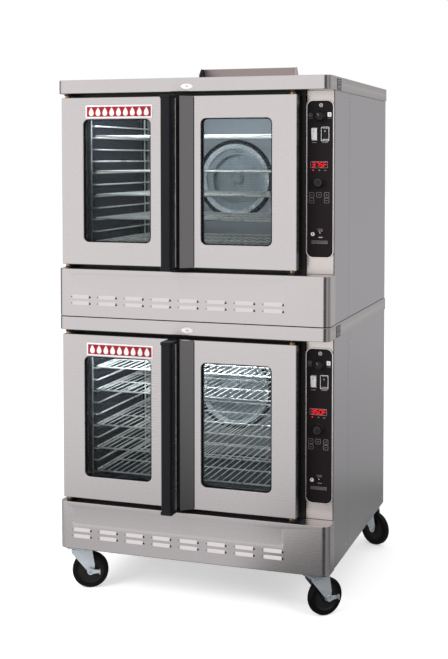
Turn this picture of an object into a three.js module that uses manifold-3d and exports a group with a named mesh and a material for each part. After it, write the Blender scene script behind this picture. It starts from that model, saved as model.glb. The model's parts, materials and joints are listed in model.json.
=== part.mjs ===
// Double-stacked bakery oven on casters: two identical convection decks, each with a
// pair of coupled glass doors, five wire racks and a control panel at the right.
// Millimetres, +Z up, the front faces -Y, the floor is z = 0 and x = 0 is the middle.
import * as THREE from 'three';
import { mergeVertices } from 'three/addons/utils/BufferGeometryUtils.js';
import Module from 'manifold-3d';

const wasm = await Module();
wasm.setup();

// ---- driving dimensions -------------------------------------------------------------
// Inside a deck, y = 0 is the front plane of its cap and louvre panel, z = 0 its base.
const GAP = 0.3;                    // space kept between pieces that touch
const SHEET = 4;                    // thickness of the body sheets
const HALF_WIDTH = 486;             // cap and louvre panel
const SIDE_X = 483;                 // outer faces of the side panels
const DEPTH = 914;
const FRONT_Y = -416;               // where the front plane stands, so the oven is centred
const BASE_Z = 150;                 // underside of the lower deck
const DECK_HEIGHT = 819;
const CAP_Z = 773;                  // lower edge of the top cap
const PANEL_Z = 167;                // upper edge of the louvre panel
const RECESS_Y = 77;                // the side panels and fascia are set back to here
const FRAME_Y = 66;                 // front plane of the cavity's front frame
const CORNER_R = 25;                // rounded vertical corners of cap and louvre panel

const CAVITY = { x0: -415.5, x1: 321.5, z0: 215, z1: 723, back: 693, baffle: 640 };
const CAVITY_X = (CAVITY.x0 + CAVITY.x1) / 2;
const CAVITY_Z = (CAVITY.z0 + CAVITY.z1) / 2;

const DOOR = { z0: 183, z1: 758, thick: 60, skin: 3, left: -469, seam: -47, right: 375, seamHalf: 2.5 };
const WINDOW = { z0: 262, z1: 683, left: [-386, -138], right: [44, 290], r: 18 };
const HINGE = { left: -452, right: 357, y: 15, pinR: 6, holeR: 6.4 };
const HANDLE = { x0: -71, x1: -33, front: -80, z0: 177, z1: 759 };

const FLOOR_FRONT = { halfWidth: 474, y0: 16, y1: 100 };    // the base's lip behind the louvre panel
const GASKET = { land: 14, y: 60.4 };
const SHAFT_HOLE_R = 13;
const AIR_SLOT = { width: 18, inset: 12, ends: 25 };        // slots beside the fan baffle
const EAR = { half: 14, y0: 4, thick: 5, z: [169.5, 765.5] };   // hinge brackets
const GUIDE = { y0: 108, y1: 604, post: 7, rung: 31, rungThick: 5, z0: 246, z1: 713 };

const SIDE_SEAM_Y = 285;            // seam between control housing and rear side panel
const FASCIA_X = 386;               // left edge of the control fascia
const CONTROL = { x0: 390, x1: 480, z0: 224, z1: 739, y0: 71, y1: 76.7, r: 20 };
const CONTROL_RIM = { side: 7, low: 14, high: 13 };         // fascia left behind the panel's edges
const KNOB_SHAFT = { r: 4, holeR: 4.6 };
const MODE_KNOB = { x: 437, z: 687, skirtR: 19, gripR: 14 };
const SET_KNOB = { x: 432, z: 471, skirtR: 20, gripR: 15 };
const ROCKER_Y = 76;                // pivot line of the rocker switches
const ROCKERS = {
  light_switch: { x: 414, z: 629.5, width: 20, height: 37 },
  fan_switch: { x: 451, z: 629.5, width: 22, height: 37 },
  pulse_switch: { x: 435, z: 300, width: 14, height: 20 },
};

const RACK_POSITIONS = 11;
const RACK_PITCH = 41.3;
const RACK_Z = 256;                 // middle of a rack in the lowest position
const RACK = { x0: -397, x1: 303, y0: 105, y1: 632, half: 2.9, slots: 6, rim: 9, wire: 8 };

const LOUVRE = { count: 8, x0: -433, pitch: 99.3, width: 65, rows: [48.5, 71], half: 6 };
const BLOWER = { r: 125, inletR: 128, blades: 8 };
const WHEEL = { r: 64.29, half: 16, boreR: 6.4, sides: 20, axleZ: 63.5 };
const SWIVEL = { x: 430, front: 44, back: 870, trail: 38 };
const PAD = { half: 36, ringR: 30, top: 2, under: -5, ringUnder: -8 };      // caster top plates
const FORK = { half: 24, front: 30, crown: 4, leg: 3, hubR: 13, clear: 1.2, axleR: 6, nutR: 9 };
const BRAKE = { hubR: 12, reach: 34, armHalf: 7, treadHalf: 9, treadOut: 8, thick: 3 };
const HOOD = { halfWidth: 188, height: 77, base: 717, top: 672, splayDeg: 6, sheet: 3, foot: 22 };

// ---- solids -------------------------------------------------------------------------
const AXES = { x: new THREE.Vector3(1, 0, 0), y: new THREE.Vector3(0, 1, 0), z: new THREE.Vector3(0, 0, 1) };

function solid(geometry) {
  const bare = geometry.clone();
  bare.deleteAttribute('normal');
  bare.deleteAttribute('uv');
  const merged = mergeVertices(bare, 1e-4);
  const vertProperties = new Float32Array(merged.attributes.position.array);
  const triVerts = new Uint32Array(merged.index.array);
  return new wasm.Manifold(new wasm.Mesh({ numProp: 3, vertProperties, triVerts }));
}

function join(...pieces) {
  return pieces.flat().reduce((whole, piece) => whole.add(piece));
}

function cut(body, ...tools) {
  return tools.flat().reduce((left, tool) => left.subtract(tool), body);
}

function block(x0, x1, y0, y1, z0, z1) {
  const box = new THREE.BoxGeometry(x1 - x0, y1 - y0, z1 - z0);
  return solid(box.translate((x0 + x1) / 2, (y0 + y1) / 2, (z0 + z1) / 2));
}

function extrude(shape, depth, curveSegments = 3) {
  return new THREE.ExtrudeGeometry(shape, { depth, bevelEnabled: false, curveSegments });
}

function outline(points) {
  return new THREE.Shape(points.map(([a, b]) => new THREE.Vector2(a, b)));
}

// A plan view (x, y) raised from z0 to z1.
function raisePlan(shape, z0, z1) {
  return solid(extrude(shape, z1 - z0).translate(0, 0, z0));
}

// A front view (x, z) given thickness from y0 to y1.
function thickenFront(shape, y0, y1) {
  return solid(extrude(shape, y1 - y0).rotateX(Math.PI / 2).translate(0, y1, 0));
}

// A side view (y, z) drawn out from x0 to x1.
function widenSide(shape, x0, x1) {
  const turn = new THREE.Matrix4().makeBasis(AXES.y, AXES.z, AXES.x);
  return solid(extrude(shape, x1 - x0).applyMatrix4(turn).translate(x0, 0, 0));
}

function cylinder(axis, radius, from, to, centre, sides = 16) {
  const rod = new THREE.CylinderGeometry(radius, radius, to - from, sides).translate(0, (from + to) / 2, 0);
  if (axis === 'x') rod.rotateZ(-Math.PI / 2);
  if (axis === 'z') rod.rotateX(Math.PI / 2);
  return solid(rod.translate(...centre));
}

// A turned piece about the Y axis; the profile is a closed list of [radius, y].
function turned(profile, centre, sides = 20) {
  const points = profile.map(([radius, y]) => new THREE.Vector2(radius, y));
  return solid(new THREE.LatheGeometry(points, sides).translate(...centre));
}

function roundedRectangle(x0, x1, z0, z1, r) {
  const shape = new THREE.Shape();
  shape.moveTo(x0 + r, z0).lineTo(x1 - r, z0).absarc(x1 - r, z0 + r, r, -Math.PI / 2, 0);
  shape.lineTo(x1, z1 - r).absarc(x1 - r, z1 - r, r, 0, Math.PI / 2);
  shape.lineTo(x0 + r, z1).absarc(x0 + r, z1 - r, r, Math.PI / 2, Math.PI);
  shape.lineTo(x0, z0 + r).absarc(x0 + r, z0 + r, r, Math.PI, 1.5 * Math.PI);
  return shape;
}

// Plan of the cap and the louvre panel: a rectangle with its two front corners rounded.
function roundedFrontPlan(halfWidth, y0, y1, r) {
  const shape = new THREE.Shape();
  shape.moveTo(-halfWidth, y1).lineTo(-halfWidth, y0 + r);
  shape.absarc(-halfWidth + r, y0 + r, r, Math.PI, 1.5 * Math.PI);
  shape.lineTo(halfWidth - r, y0).absarc(halfWidth - r, y0 + r, r, 1.5 * Math.PI, 2 * Math.PI);
  shape.lineTo(halfWidth, y1);
  return shape;
}

// ---- materials ----------------------------------------------------------------------
function material(color, roughness, metalness, extra = {}) {
  return new THREE.MeshStandardMaterial({ color, roughness, metalness, ...extra });
}

const STEEL = material(0xcdc8c8, 0.35, 0.9);
const SIDE_STEEL = material(0x969396, 0.4, 0.9);
const DARK_STEEL = material(0x6b6966, 0.45, 0.9);
const LINER = material(0x8a8a8c, 0.5, 0.6);
const WIRE = material(0xc8c8cc, 0.25, 1);
const ZINC = material(0xa9b0b6, 0.35, 0.9);
const BLACK = material(0x141418, 0.35, 0);
const PANEL_BLACK = material(0x282022, 0.4, 0);
const WHITE = material(0xe8e8e8, 0.4, 0);
const RUBBER = material(0x0c0c0c, 0.8, 0);
const GLASS = material(0xb8c4c4, 0.05, 0, { transparent: true, opacity: 0.3 });

// ---- a deck's fixed pieces ----------------------------------------------------------
function topCap(top) {
  const shell = raisePlan(roundedFrontPlan(HALF_WIDTH, 0, DEPTH, CORNER_R), CAP_Z, top);
  const inside = roundedFrontPlan(HALF_WIDTH - SHEET, SHEET, DEPTH - SHEET, CORNER_R - SHEET);
  return cut(shell, raisePlan(inside, CAP_Z - 1, top - SHEET));
}

function casterPad(x, y) {
  const { half, ringR, top, under, ringUnder } = PAD;
  const plate = block(x - half, x + half, y - half, y + half, under, top);
  return join(plate, cylinder('z', ringR, ringUnder, 0, [x, y, 0], 12));
}

function cabinet(withCasterPads) {
  const back = DEPTH - GAP;
  const side = SIDE_X - SHEET;
  const top = CAP_Z - GAP;
  const { halfWidth, y0, y1 } = FLOOR_FRONT;
  const floorFront = block(-halfWidth, halfWidth, y0, y1, GAP, SHEET + GAP);
  const floorRear = block(-SIDE_X, SIDE_X, RECESS_Y + GAP, back, GAP, SHEET + GAP);
  const left = block(-SIDE_X, -side, RECESS_Y + GAP, back, GAP, top);
  const rear = block(-SIDE_X, SIDE_X, back - SHEET, back, GAP, top);
  const right = block(side, SIDE_X, SIDE_SEAM_Y + GAP, back, GAP, top);
  const housingRoom = block(side - 0.5, SIDE_X + 1, 0, SIDE_SEAM_Y + GAP, -1, top);
  const body = join(cut(floorRear, housingRoom), floorFront, left, rear, right);
  if (!withCasterPads) return body;
  const pads = [-1, 1].flatMap((s) => [SWIVEL.front, SWIVEL.back].map((y) => casterPad(s * SWIVEL.x, y)));
  return join(body, pads);
}

// Fascia beside the doors and the front strip of the right side, bent from one sheet.
function controlHousing() {
  const y = RECESS_Y + GAP;
  const inner = SIDE_X - SHEET;
  const plan = outline([[FASCIA_X, y], [SIDE_X, y], [SIDE_X, SIDE_SEAM_Y], [inner, SIDE_SEAM_Y],
    [inner, y + SHEET], [FASCIA_X, y + SHEET]]);
  const sheet = raisePlan(plan, PANEL_Z + 2 * GAP, CAP_Z - GAP);
  const strip = block(inner, SIDE_X, y, SIDE_SEAM_Y, GAP, PANEL_Z + 5);
  const { x0, x1, z0, z1 } = CONTROL;
  const { side: rim, low, high } = CONTROL_RIM;
  const room = block(x0 + rim, x1 - rim, y - 1, y + SHEET + 1, z0 + low, z1 - high);
  return cut(join(sheet, strip), room);
}

function louvrePanel() {
  const shell = raisePlan(roundedFrontPlan(HALF_WIDTH, 0, RECESS_Y, CORNER_R), GAP, PANEL_Z);
  const inside = roundedFrontPlan(HALF_WIDTH - SHEET, SHEET, RECESS_Y + 1, CORNER_R - SHEET);
  const slots = [];
  for (const z of LOUVRE.rows) {
    for (let i = 0; i < LOUVRE.count; i += 1) {
      const x = LOUVRE.x0 + i * LOUVRE.pitch;
      slots.push(block(x, x + LOUVRE.width, -1, SHEET + 1, z - LOUVRE.half, z + LOUVRE.half));
    }
  }
  return cut(shell, raisePlan(inside, -1, PANEL_Z - SHEET), slots);
}

// Cavity, its front frame with the gasket land, the fan baffle and the hinge brackets.
function ovenLiner() {
  const { x0, x1, z0, z1, back, baffle } = CAVITY;
  const opening = block(x0, x1, 0, back, z0, z1);
  const frameX = SIDE_X - SHEET - 0.5;
  const frame = block(-frameX, FASCIA_X - 0.5, FRAME_Y, FRAME_Y + SHEET, PANEL_Z + 2 * GAP, CAP_Z - GAP);
  const walls = block(x0 - SHEET, x1 + SHEET, FRAME_Y, back + SHEET, z0 - SHEET, z1 + SHEET);
  const { land, y: face } = GASKET;
  const gasket = block(x0 - land, x1 + land, face, FRAME_Y + 1, z0 - land, z1 + land);
  const shaftHole = cylinder('y', SHAFT_HOLE_R, back - 1, back + SHEET + 1, [CAVITY_X, 0, CAVITY_Z], 10);
  const baffleSheet = block(x0 - 1, x1 + 1, baffle, baffle + 3, z0 - 1, z1 + 1);
  const { width, inset, ends } = AIR_SLOT;
  const airSlots = [x0 + inset, x1 - inset - width].map((x) => (
    block(x, x + width, baffle - 1, baffle + 4, z0 + ends, z1 - ends)));
  const inlet = cylinder('y', BLOWER.inletR, baffle - 1, baffle + 4, [CAVITY_X, 0, CAVITY_Z], 20);
  const brackets = [];
  for (const x of [HINGE.left, HINGE.right]) {
    for (const z of EAR.z) {
      const ear = block(x - EAR.half, x + EAR.half, EAR.y0, FRAME_Y + 2, z, z + EAR.thick);
      brackets.push(cut(ear, cylinder('z', HINGE.holeR, z - 1, z + EAR.thick + 1, [x, HINGE.y, 0], 12)));
    }
  }
  const tub = cut(join(frame, walls, gasket), opening, shaftHole);
  return join(tub, cut(baffleSheet, inlet, airSlots), brackets);
}

function rackGuide(side) {
  const wall = side < 0 ? CAVITY.x0 + GAP : CAVITY.x1 - GAP;
  const across = (from, to) => (side < 0 ? [wall + from, wall + to] : [wall - to, wall - from]);
  const { y0, y1, post, rung, rungThick, z0, z1 } = GUIDE;
  const posts = [y0, y1 - post - 1].map((y) => block(...across(0, post), y, y + post + 1, z0, z1));
  const rungs = [];
  for (let k = 0; k < RACK_POSITIONS; k += 1) {
    const top = RACK_Z + k * RACK_PITCH - RACK.half - GAP;
    rungs.push(block(...across(0, rung), y0, y1, top - rungThick, top));
  }
  return join(posts, rungs);
}

// ---- a deck's controls --------------------------------------------------------------
function controlPanel() {
  const { x0, x1, z0, z1, y0, y1, r } = CONTROL;
  const plate = thickenFront(roundedRectangle(x0, x1, z0, z1, r), y0, y1);
  const holes = [MODE_KNOB, SET_KNOB].map(({ x, z }) => (
    cylinder('y', KNOB_SHAFT.holeR, y0 - 1, y1 + 1, [x, 0, z], 8)));
  const mouths = Object.values(ROCKERS).map(({ x, z, width, height }) => {
    const halfX = width / 2 + 1;
    const halfZ = height / 2 + 2.4;
    return block(x - halfX, x + halfX, y0 - 1, y1 + 1, z - halfZ, z + halfZ);
  });
  return cut(plate, holes, mouths);
}

// Skirted knob with a raised grip bar; it turns about its shaft, along Y.
function knob({ x, z, skirtR, gripR }) {
  const { r } = KNOB_SHAFT;
  const profile = [[0, 50], [gripR, 50], [gripR + 1, 65], [skirtR, 67], [skirtR, 70.4], [r, 70.4], [r, 84],
    [0, 84]];
  const body = turned(profile, [x, 0, z], 16);
  return join(body, block(x - 2, x + 2, 48.5, 66, z - 2, z + gripR + 2));
}

// Rocker with its upper half pressed out; it tips about the X axis.
function rocker({ x, z, width, height }) {
  const half = height / 2;
  const side = outline([[80, z - half + 2], [80, z + half - 2], [69, z + half], [67, z + half - 2], [69.5, z],
    [72, z - half + 1]]);
  return widenSide(side, x - width / 2, x + width / 2);
}

// ---- a deck's doors -----------------------------------------------------------------
function doorLeaf(x0, x1, [glass0, glass1], pinX) {
  const { z0, z1, thick, skin } = DOOR;
  const leaf = block(x0, x1, 0, thick, z0, z1);
  const hollow = block(x0 + skin, x1 - skin, skin, thick - skin, z0 + skin, z1 - skin);
  const lined = (grow) => (
    roundedRectangle(glass0 - grow, glass1 + grow, WINDOW.z0 - grow, WINDOW.z1 + grow, WINDOW.r + grow));
  const vent = block((x0 + x1) / 2 - 40, (x0 + x1) / 2 + 40, 26, 34, z1 - 8, z1 + 1);
  const room = cut(hollow, thickenFront(lined(skin), 0, thick));
  const pins = [
    cylinder('z', HINGE.pinR, z1 - 2, z1 + 14, [pinX, HINGE.y, 0], 12),
    cylinder('z', HINGE.pinR, z0 - 15, z0 + 2, [pinX, HINGE.y, 0], 12),
  ];
  return join(cut(leaf, room, thickenFront(lined(0), -1, thick + 1), vent), pins);
}

function doorLeft() {
  return doorLeaf(DOOR.left, DOOR.seam - DOOR.seamHalf, WINDOW.left, HINGE.left);
}

// The right leaf has a flange that flares forward and left, towards the handle.
function doorRight() {
  const flange = outline([[18, 1], [16, -1.5], [-21, -31.4], [-23, -29], [12.5, 1]]);
  const leaf = doorLeaf(DOOR.seam + DOOR.seamHalf, DOOR.right, WINDOW.right, HINGE.right);
  return join(leaf, raisePlan(flange, DOOR.z0, DOOR.z1));
}

function doorWindow([x0, x1]) {
  const edge = GAP + 0.1;
  const shape = roundedRectangle(x0 + edge, x1 - edge, WINDOW.z0 + edge, WINDOW.z1 - edge, WINDOW.r);
  return thickenFront(shape, 46, 52);
}

// Full-height pull on the left leaf: a grip, a bright strip and a base.
function doorHandle() {
  const { x0, x1, front, z0, z1 } = HANDLE;
  const plan = outline([[x0, -1], [x0, -30], [x0 + 3, -30], [x0 + 3, -45], [x0, -45], [x0, front + 6],
    [x0 + 4, front], [x1 - 4, front], [x1, front + 6], [x1, -45], [x1 - 3, -45], [x1 - 3, -30], [x1, -30],
    [x1, -1]]);
  const cap = outline([[x0 - 2, -1], [x0 - 2, front + 6], [x0 + 4, front - 2], [x1 - 4, front - 2],
    [x1 + 2, front + 6], [x1 + 2, -1]]);
  return join(raisePlan(plan, z0 + 5, z1 - 5), raisePlan(cap, z0, z0 + 10), raisePlan(cap, z1 - 10, z1));
}

// ---- a deck's racks and blower ------------------------------------------------------
function rack(position) {
  const { x0, x1, y0, y1, half, slots, rim, wire } = RACK;
  const z = RACK_Z + position * RACK_PITCH;
  const room = (x1 - x0 - 2 * rim - (slots - 1) * wire) / slots;
  const gaps = [];
  for (let i = 0; i < slots; i += 1) {
    const start = x0 + rim + i * (room + wire);
    gaps.push(block(start, start + room, y0 + rim, y1 - rim, z - half - 1, z + half + 1));
  }
  return cut(block(x0, x1, y0, y1, z - half, z + half), gaps);
}

function blowerWheel() {
  const centre = [CAVITY_X, 0, CAVITY_Z];
  const { r } = BLOWER;
  const disc = [[0, 658], [16, 658], [22, 664], [22, 683], [r, 683], [r, 686], [12, 686], [12, 765],
    [0, 765]];
  const ring = [[r - 30, 650], [r, 650], [r, 653], [r - 30, 653], [r - 30, 650]];
  const blades = [];
  for (let i = 0; i < BLOWER.blades; i += 1) {
    const blade = new THREE.BoxGeometry(26, 33, 3).rotateY(0.5).translate(r - 16, 668, 0);
    blade.rotateY((i * 2 * Math.PI) / BLOWER.blades).translate(...centre);
    blades.push(solid(blade));
  }
  return join(turned(disc, centre, 16), turned(ring, centre, 16), blades);
}

// ---- pieces outside the decks -------------------------------------------------------
// Draught hood at the rear of the top: a plate that leans forward between two wings.
function flueHood() {
  const { halfWidth, height, base, top, sheet } = HOOD;
  const z0 = GAP;
  const lean = outline([[base, z0], [base + sheet, z0], [top + sheet, height], [top, height]]);
  const plate = widenSide(lean, -halfWidth, halfWidth);
  const foot = block(-halfWidth, halfWidth, base, base + HOOD.foot, z0, z0 + sheet);
  const wingSide = outline([[base + 2, z0], [top + 2, height], [top - 22, height], [top - 36, height - 24],
    [top - 36, z0]]);
  const wings = [-1, 1].map((side) => {
    const splay = THREE.MathUtils.degToRad(side * HOOD.splayDeg);
    const wing = new THREE.ExtrudeGeometry(wingSide, { depth: sheet, bevelEnabled: false });
    wing.applyMatrix4(new THREE.Matrix4().makeBasis(AXES.y, AXES.z, AXES.x));
    wing.translate(side < 0 ? 0 : -sheet, -base, 0).rotateZ(splay).translate(side * halfWidth, base, 0);
    return solid(wing);
  });
  return join(plate, foot, wings);
}

// Caster pieces are made about the swivel axis, with the wheel trailing towards +X.
function casterFork() {
  const { trail } = SWIVEL;
  const { axleZ, half } = WHEEL;
  const { half: rear, front, crown, leg, hubR, clear, axleR, nutR } = FORK;
  const crownTop = BASE_Z + PAD.ringUnder - 2 * GAP;
  const legSide = new THREE.Shape();
  legSide.moveTo(-rear, crownTop).lineTo(-rear, crownTop - 2 * crown).lineTo(trail - hubR, axleZ - 4);
  legSide.absarc(trail, axleZ, hubR, Math.PI + 0.3, 2 * Math.PI - 0.1).lineTo(trail + hubR, axleZ + 30);
  legSide.lineTo(front, crownTop - 2 * crown).lineTo(front, crownTop);
  const legs = [half + clear, -half - clear - leg].map((y) => thickenFront(legSide, y, y + leg));
  const bridge = block(-rear, front, -half - 4, half + 4, crownTop - crown, crownTop);
  const axle = cylinder('y', axleR, -half - 8, half + 8, [trail, 0, axleZ], 12);
  const nuts = [[-half - 9, -half - 4], [half + 4, half + 9]].map(([from, to]) => (
    cylinder('y', nutR, from, to, [trail, 0, axleZ], 6)));
  return join(bridge, legs, axle, nuts);
}

function casterWheel() {
  const { r, half, boreR, sides } = WHEEL;
  const profile = [[boreR, -half], [r - 6, -half], [r, -half + 6], [r, half - 6], [r - 6, half],
    [boreR, half], [boreR, -half]];
  const points = profile.map(([radius, y]) => new THREE.Vector2(radius, y));
  const wheel = new THREE.LatheGeometry(points, sides).rotateY(Math.PI / sides);
  return solid(wheel.translate(SWIVEL.trail, 0, WHEEL.axleZ));
}

// Lever that turns on the axle's outer end and clamps the wheel.
function brakeLever() {
  const { trail } = SWIVEL;
  const { axleZ, half } = WHEEL;
  const { hubR, reach, armHalf, treadHalf, treadOut, thick } = BRAKE;
  const from = -half - 15;
  const end = trail + reach;
  const hub = cylinder('y', hubR, from, -half - 9.4, [trail, 0, axleZ], 12);
  const arm = block(trail + 4, end, from, from + thick, axleZ - armHalf, axleZ + armHalf);
  const tread = block(end - thick, end, from - treadOut, from + thick, axleZ - treadHalf, axleZ + treadHalf);
  return join(hub, arm, tread);
}

// ---- assembly -----------------------------------------------------------------------
const oven = new THREE.Group();

function place(parent, name, body, look) {
  const { vertProperties, triVerts } = body.getMesh();
  const geometry = new THREE.BufferGeometry();
  geometry.setAttribute('position', new THREE.BufferAttribute(vertProperties, 3));
  geometry.setIndex(new THREE.BufferAttribute(triVerts, 1));
  geometry.computeVertexNormals();
  const mesh = new THREE.Mesh(geometry, look);
  mesh.name = name;
  parent.add(mesh);
}

function addDeck(prefix, baseZ, capTop, rackPositions, withCasterPads) {
  const deck = new THREE.Group();
  deck.position.set(0, FRONT_Y, baseZ);
  oven.add(deck);
  const add = (name, body, look) => place(deck, `${prefix}_${name}`, body, look);

  add('top_cap', topCap(capTop), STEEL);
  add('cabinet', cabinet(withCasterPads), SIDE_STEEL);
  add('control_housing', controlHousing(), STEEL);
  add('louvre_panel', louvrePanel(), STEEL);
  add('oven_liner', ovenLiner(), LINER);
  add('rack_guide_left', rackGuide(-1), WIRE);
  add('rack_guide_right', rackGuide(1), WIRE);
  add('control_panel', controlPanel(), PANEL_BLACK);
  add('mode_knob', knob(MODE_KNOB), BLACK);
  add('set_knob', knob(SET_KNOB), BLACK);
  add('light_switch', rocker(ROCKERS.light_switch), WHITE);
  add('fan_switch', rocker(ROCKERS.fan_switch), BLACK);
  add('pulse_switch', rocker(ROCKERS.pulse_switch), BLACK);
  add('door_left', doorLeft(), STEEL);
  add('window_left', doorWindow(WINDOW.left), GLASS);
  add('door_handle', doorHandle(), BLACK);
  add('door_right', doorRight(), STEEL);
  add('window_right', doorWindow(WINDOW.right), GLASS);
  rackPositions.forEach((position, i) => add(`rack_${i + 1}`, rack(position), WIRE));
  add('blower_wheel', blowerWheel(), ZINC);
  return deck;
}

addDeck('lower', BASE_Z, DECK_HEIGHT - GAP, [0, 2, 4, 7, 9], true);
const upperDeck = addDeck('upper', BASE_Z + DECK_HEIGHT, DECK_HEIGHT, [0, 2, 4, 6, 9], false);

const roof = new THREE.Group();
roof.position.set(0, 0, DECK_HEIGHT);
upperDeck.add(roof);
place(roof, 'flue_hood', flueHood(), DARK_STEEL);

// Each caster has swivelled its own way; trail is the way its wheel points from above.
const CASTERS = [
  { name: 'front_left', x: -SWIVEL.x, y: SWIVEL.front, trailDeg: 25, braked: true },
  { name: 'front_right', x: SWIVEL.x, y: SWIVEL.front, trailDeg: 50, braked: true },
  { name: 'back_left', x: -SWIVEL.x, y: SWIVEL.back, trailDeg: 210, braked: false },
  { name: 'back_right', x: SWIVEL.x, y: SWIVEL.back, trailDeg: -30, braked: false },
];

for (const { name, x, y, trailDeg, braked } of CASTERS) {
  const caster = new THREE.Group();
  caster.position.set(x, FRONT_Y + y, 0);
  caster.rotation.z = THREE.MathUtils.degToRad(trailDeg);
  oven.add(caster);
  place(caster, `caster_fork_${name}`, casterFork(), ZINC);
  place(caster, `caster_wheel_${name}`, casterWheel(), RUBBER);
  if (braked) place(caster, `brake_lever_${name}`, brakeLever(), ZINC);
}

export default oven;
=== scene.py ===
"""Looks of a double-stacked bakery oven on casters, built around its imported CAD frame.

Lengths in the deck functions are millimetres in the deck's own axes: x from the oven's middle,
y back from the front plane of the top cap, z up from the underside of the deck.
"""
import json
import math

import bmesh
import bpy
from mathutils import Matrix, Vector


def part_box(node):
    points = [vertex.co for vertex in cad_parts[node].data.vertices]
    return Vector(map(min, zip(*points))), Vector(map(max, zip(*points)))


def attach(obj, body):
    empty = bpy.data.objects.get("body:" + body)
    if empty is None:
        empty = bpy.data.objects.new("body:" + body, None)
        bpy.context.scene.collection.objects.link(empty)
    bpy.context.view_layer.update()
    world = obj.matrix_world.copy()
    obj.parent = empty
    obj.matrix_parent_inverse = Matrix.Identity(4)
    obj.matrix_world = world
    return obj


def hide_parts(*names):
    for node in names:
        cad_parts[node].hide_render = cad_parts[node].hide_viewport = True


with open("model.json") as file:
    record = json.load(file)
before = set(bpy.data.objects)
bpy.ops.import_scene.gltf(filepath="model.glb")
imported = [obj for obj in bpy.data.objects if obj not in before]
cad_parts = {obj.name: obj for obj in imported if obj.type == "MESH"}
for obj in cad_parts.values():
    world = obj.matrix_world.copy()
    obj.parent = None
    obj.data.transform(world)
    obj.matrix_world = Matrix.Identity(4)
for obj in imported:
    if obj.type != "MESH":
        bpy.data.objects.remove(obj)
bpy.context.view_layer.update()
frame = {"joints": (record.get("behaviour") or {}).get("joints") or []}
MM = 0.001

# ---- sizes shared by both decks, in millimetres -----------------------------------------
HALF_WIDTH = 486
SIDE_X = 483
DEPTH = 914
CAP_Z = (773, 819)
PANEL_TOP = 167
RECESS_Y = 77
FRAME_Y = 66
CORNER_R = 25
CAVITY_X = (-415.5, 321.5)
CAVITY_Z = (215, 723)
CAVITY_BACK = 693
BAFFLE_Y = 640
CENTRE_X = sum(CAVITY_X) / 2
CENTRE_Z = sum(CAVITY_Z) / 2
DOOR_Z = (183, 758)
WINDOW_Z = (262, 683)
WINDOW_R = 18
FASCIA_X = 386
SIDE_SEAM_Y = 285
HINGE_Y = 15
RACK_PITCH = 41.3
RACK_Z = 256


# ---- mesh helpers -----------------------------------------------------------------------
class Place:
    """A deck's own axes: millimetres from its front plane, its middle and its base."""

    def __init__(self, x, y, z):
        self.origin = Vector((x, y, z))

    def at(self, x, y, z):
        return self.origin + Vector((x, y, z)) * MM

    def matrix(self):
        return Matrix.Translation(self.origin) @ Matrix.Scale(MM, 4)


def link(name, mesh, smooth=30):
    """A scene object for a mesh, shaded smooth except across edges sharper than the angle."""
    obj = bpy.data.objects.new(name, mesh)
    bpy.context.scene.collection.objects.link(obj)
    if smooth:
        mesh.shade_smooth()
        mesh.set_sharp_from_angle(angle=math.radians(smooth))
        apply_modifiers(obj, [("WEIGHTED_NORMAL", {"keep_sharp": True})])
    return obj


def apply_modifiers(obj, modifiers):
    for kind, settings in modifiers:
        modifier = obj.modifiers.new(kind.lower(), kind)
        for key, value in settings.items():
            setattr(modifier, key, value)
    bpy.context.view_layer.update()
    evaluated = obj.evaluated_get(bpy.context.evaluated_depsgraph_get())
    old = obj.data
    obj.data = bpy.data.meshes.new_from_object(evaluated)
    obj.modifiers.clear()
    bpy.data.meshes.remove(old)


def tidy(mesh, distance=1e-3):
    """Joins doubled points and turns every face outwards."""
    bm = bmesh.new()
    bm.from_mesh(mesh)
    bmesh.ops.remove_doubles(bm, verts=bm.verts, dist=distance)
    bmesh.ops.dissolve_degenerate(bm, edges=bm.edges, dist=distance)
    bmesh.ops.recalc_face_normals(bm, faces=bm.faces)
    bm.to_mesh(mesh)
    bm.free()


def curve_mesh(curve):
    holder = bpy.data.objects.new("outline", curve)
    bpy.context.scene.collection.objects.link(holder)
    bpy.context.view_layer.update()
    evaluated = holder.evaluated_get(bpy.context.evaluated_depsgraph_get())
    mesh = bpy.data.meshes.new_from_object(evaluated)
    bpy.data.objects.remove(holder)
    bpy.data.curves.remove(curve)
    return mesh


def add_spline(curve, points, cyclic=True):
    spline = curve.splines.new("POLY")
    spline.points.add(len(points) - 1)
    for point, co in zip(spline.points, points):
        point.co = (*co, 0, 1) if len(co) == 2 else (*co, 1)
    spline.use_cyclic_u = cyclic
    return spline


def slab_mesh(loops, low, high, bevel, steps=2):
    """A flat plate from low to high: the first loop is its outline, the others are holes."""
    curve = bpy.data.curves.new("outline", "CURVE")
    curve.dimensions = "2D"
    curve.fill_mode = "BOTH"
    curve.extrude = (high - low) / 2 - bevel
    curve.bevel_depth = bevel
    curve.bevel_resolution = steps - 1
    curve.offset = -bevel
    for loop in loops:
        add_spline(curve, loop)
    mesh = curve_mesh(curve)
    mesh.transform(Matrix.Translation((0, 0, (low + high) / 2)))
    tidy(mesh)
    return mesh


FRONT = Matrix(((1, 0, 0, 0), (0, 0, -1, 0), (0, 1, 0, 0), (0, 0, 0, 1)))
SIDE = Matrix(((0, 0, 1, 0), (1, 0, 0, 0), (0, 1, 0, 0), (0, 0, 0, 1)))


def front_plate(place, name, loops, y0, y1, bevel=1.0, steps=2):
    """A plate seen from the front: loops of (x, z), from y0 back to y1."""
    mesh = slab_mesh(loops, -y1, -y0, bevel, steps)
    mesh.transform(place.matrix() @ FRONT)
    return link(name, mesh)


def plan_plate(place, name, loops, z0, z1, bevel=1.0, steps=2):
    """A plate seen from above: loops of (x, y), from z0 up to z1."""
    mesh = slab_mesh(loops, z0, z1, bevel, steps)
    mesh.transform(place.matrix())
    return link(name, mesh)


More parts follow.
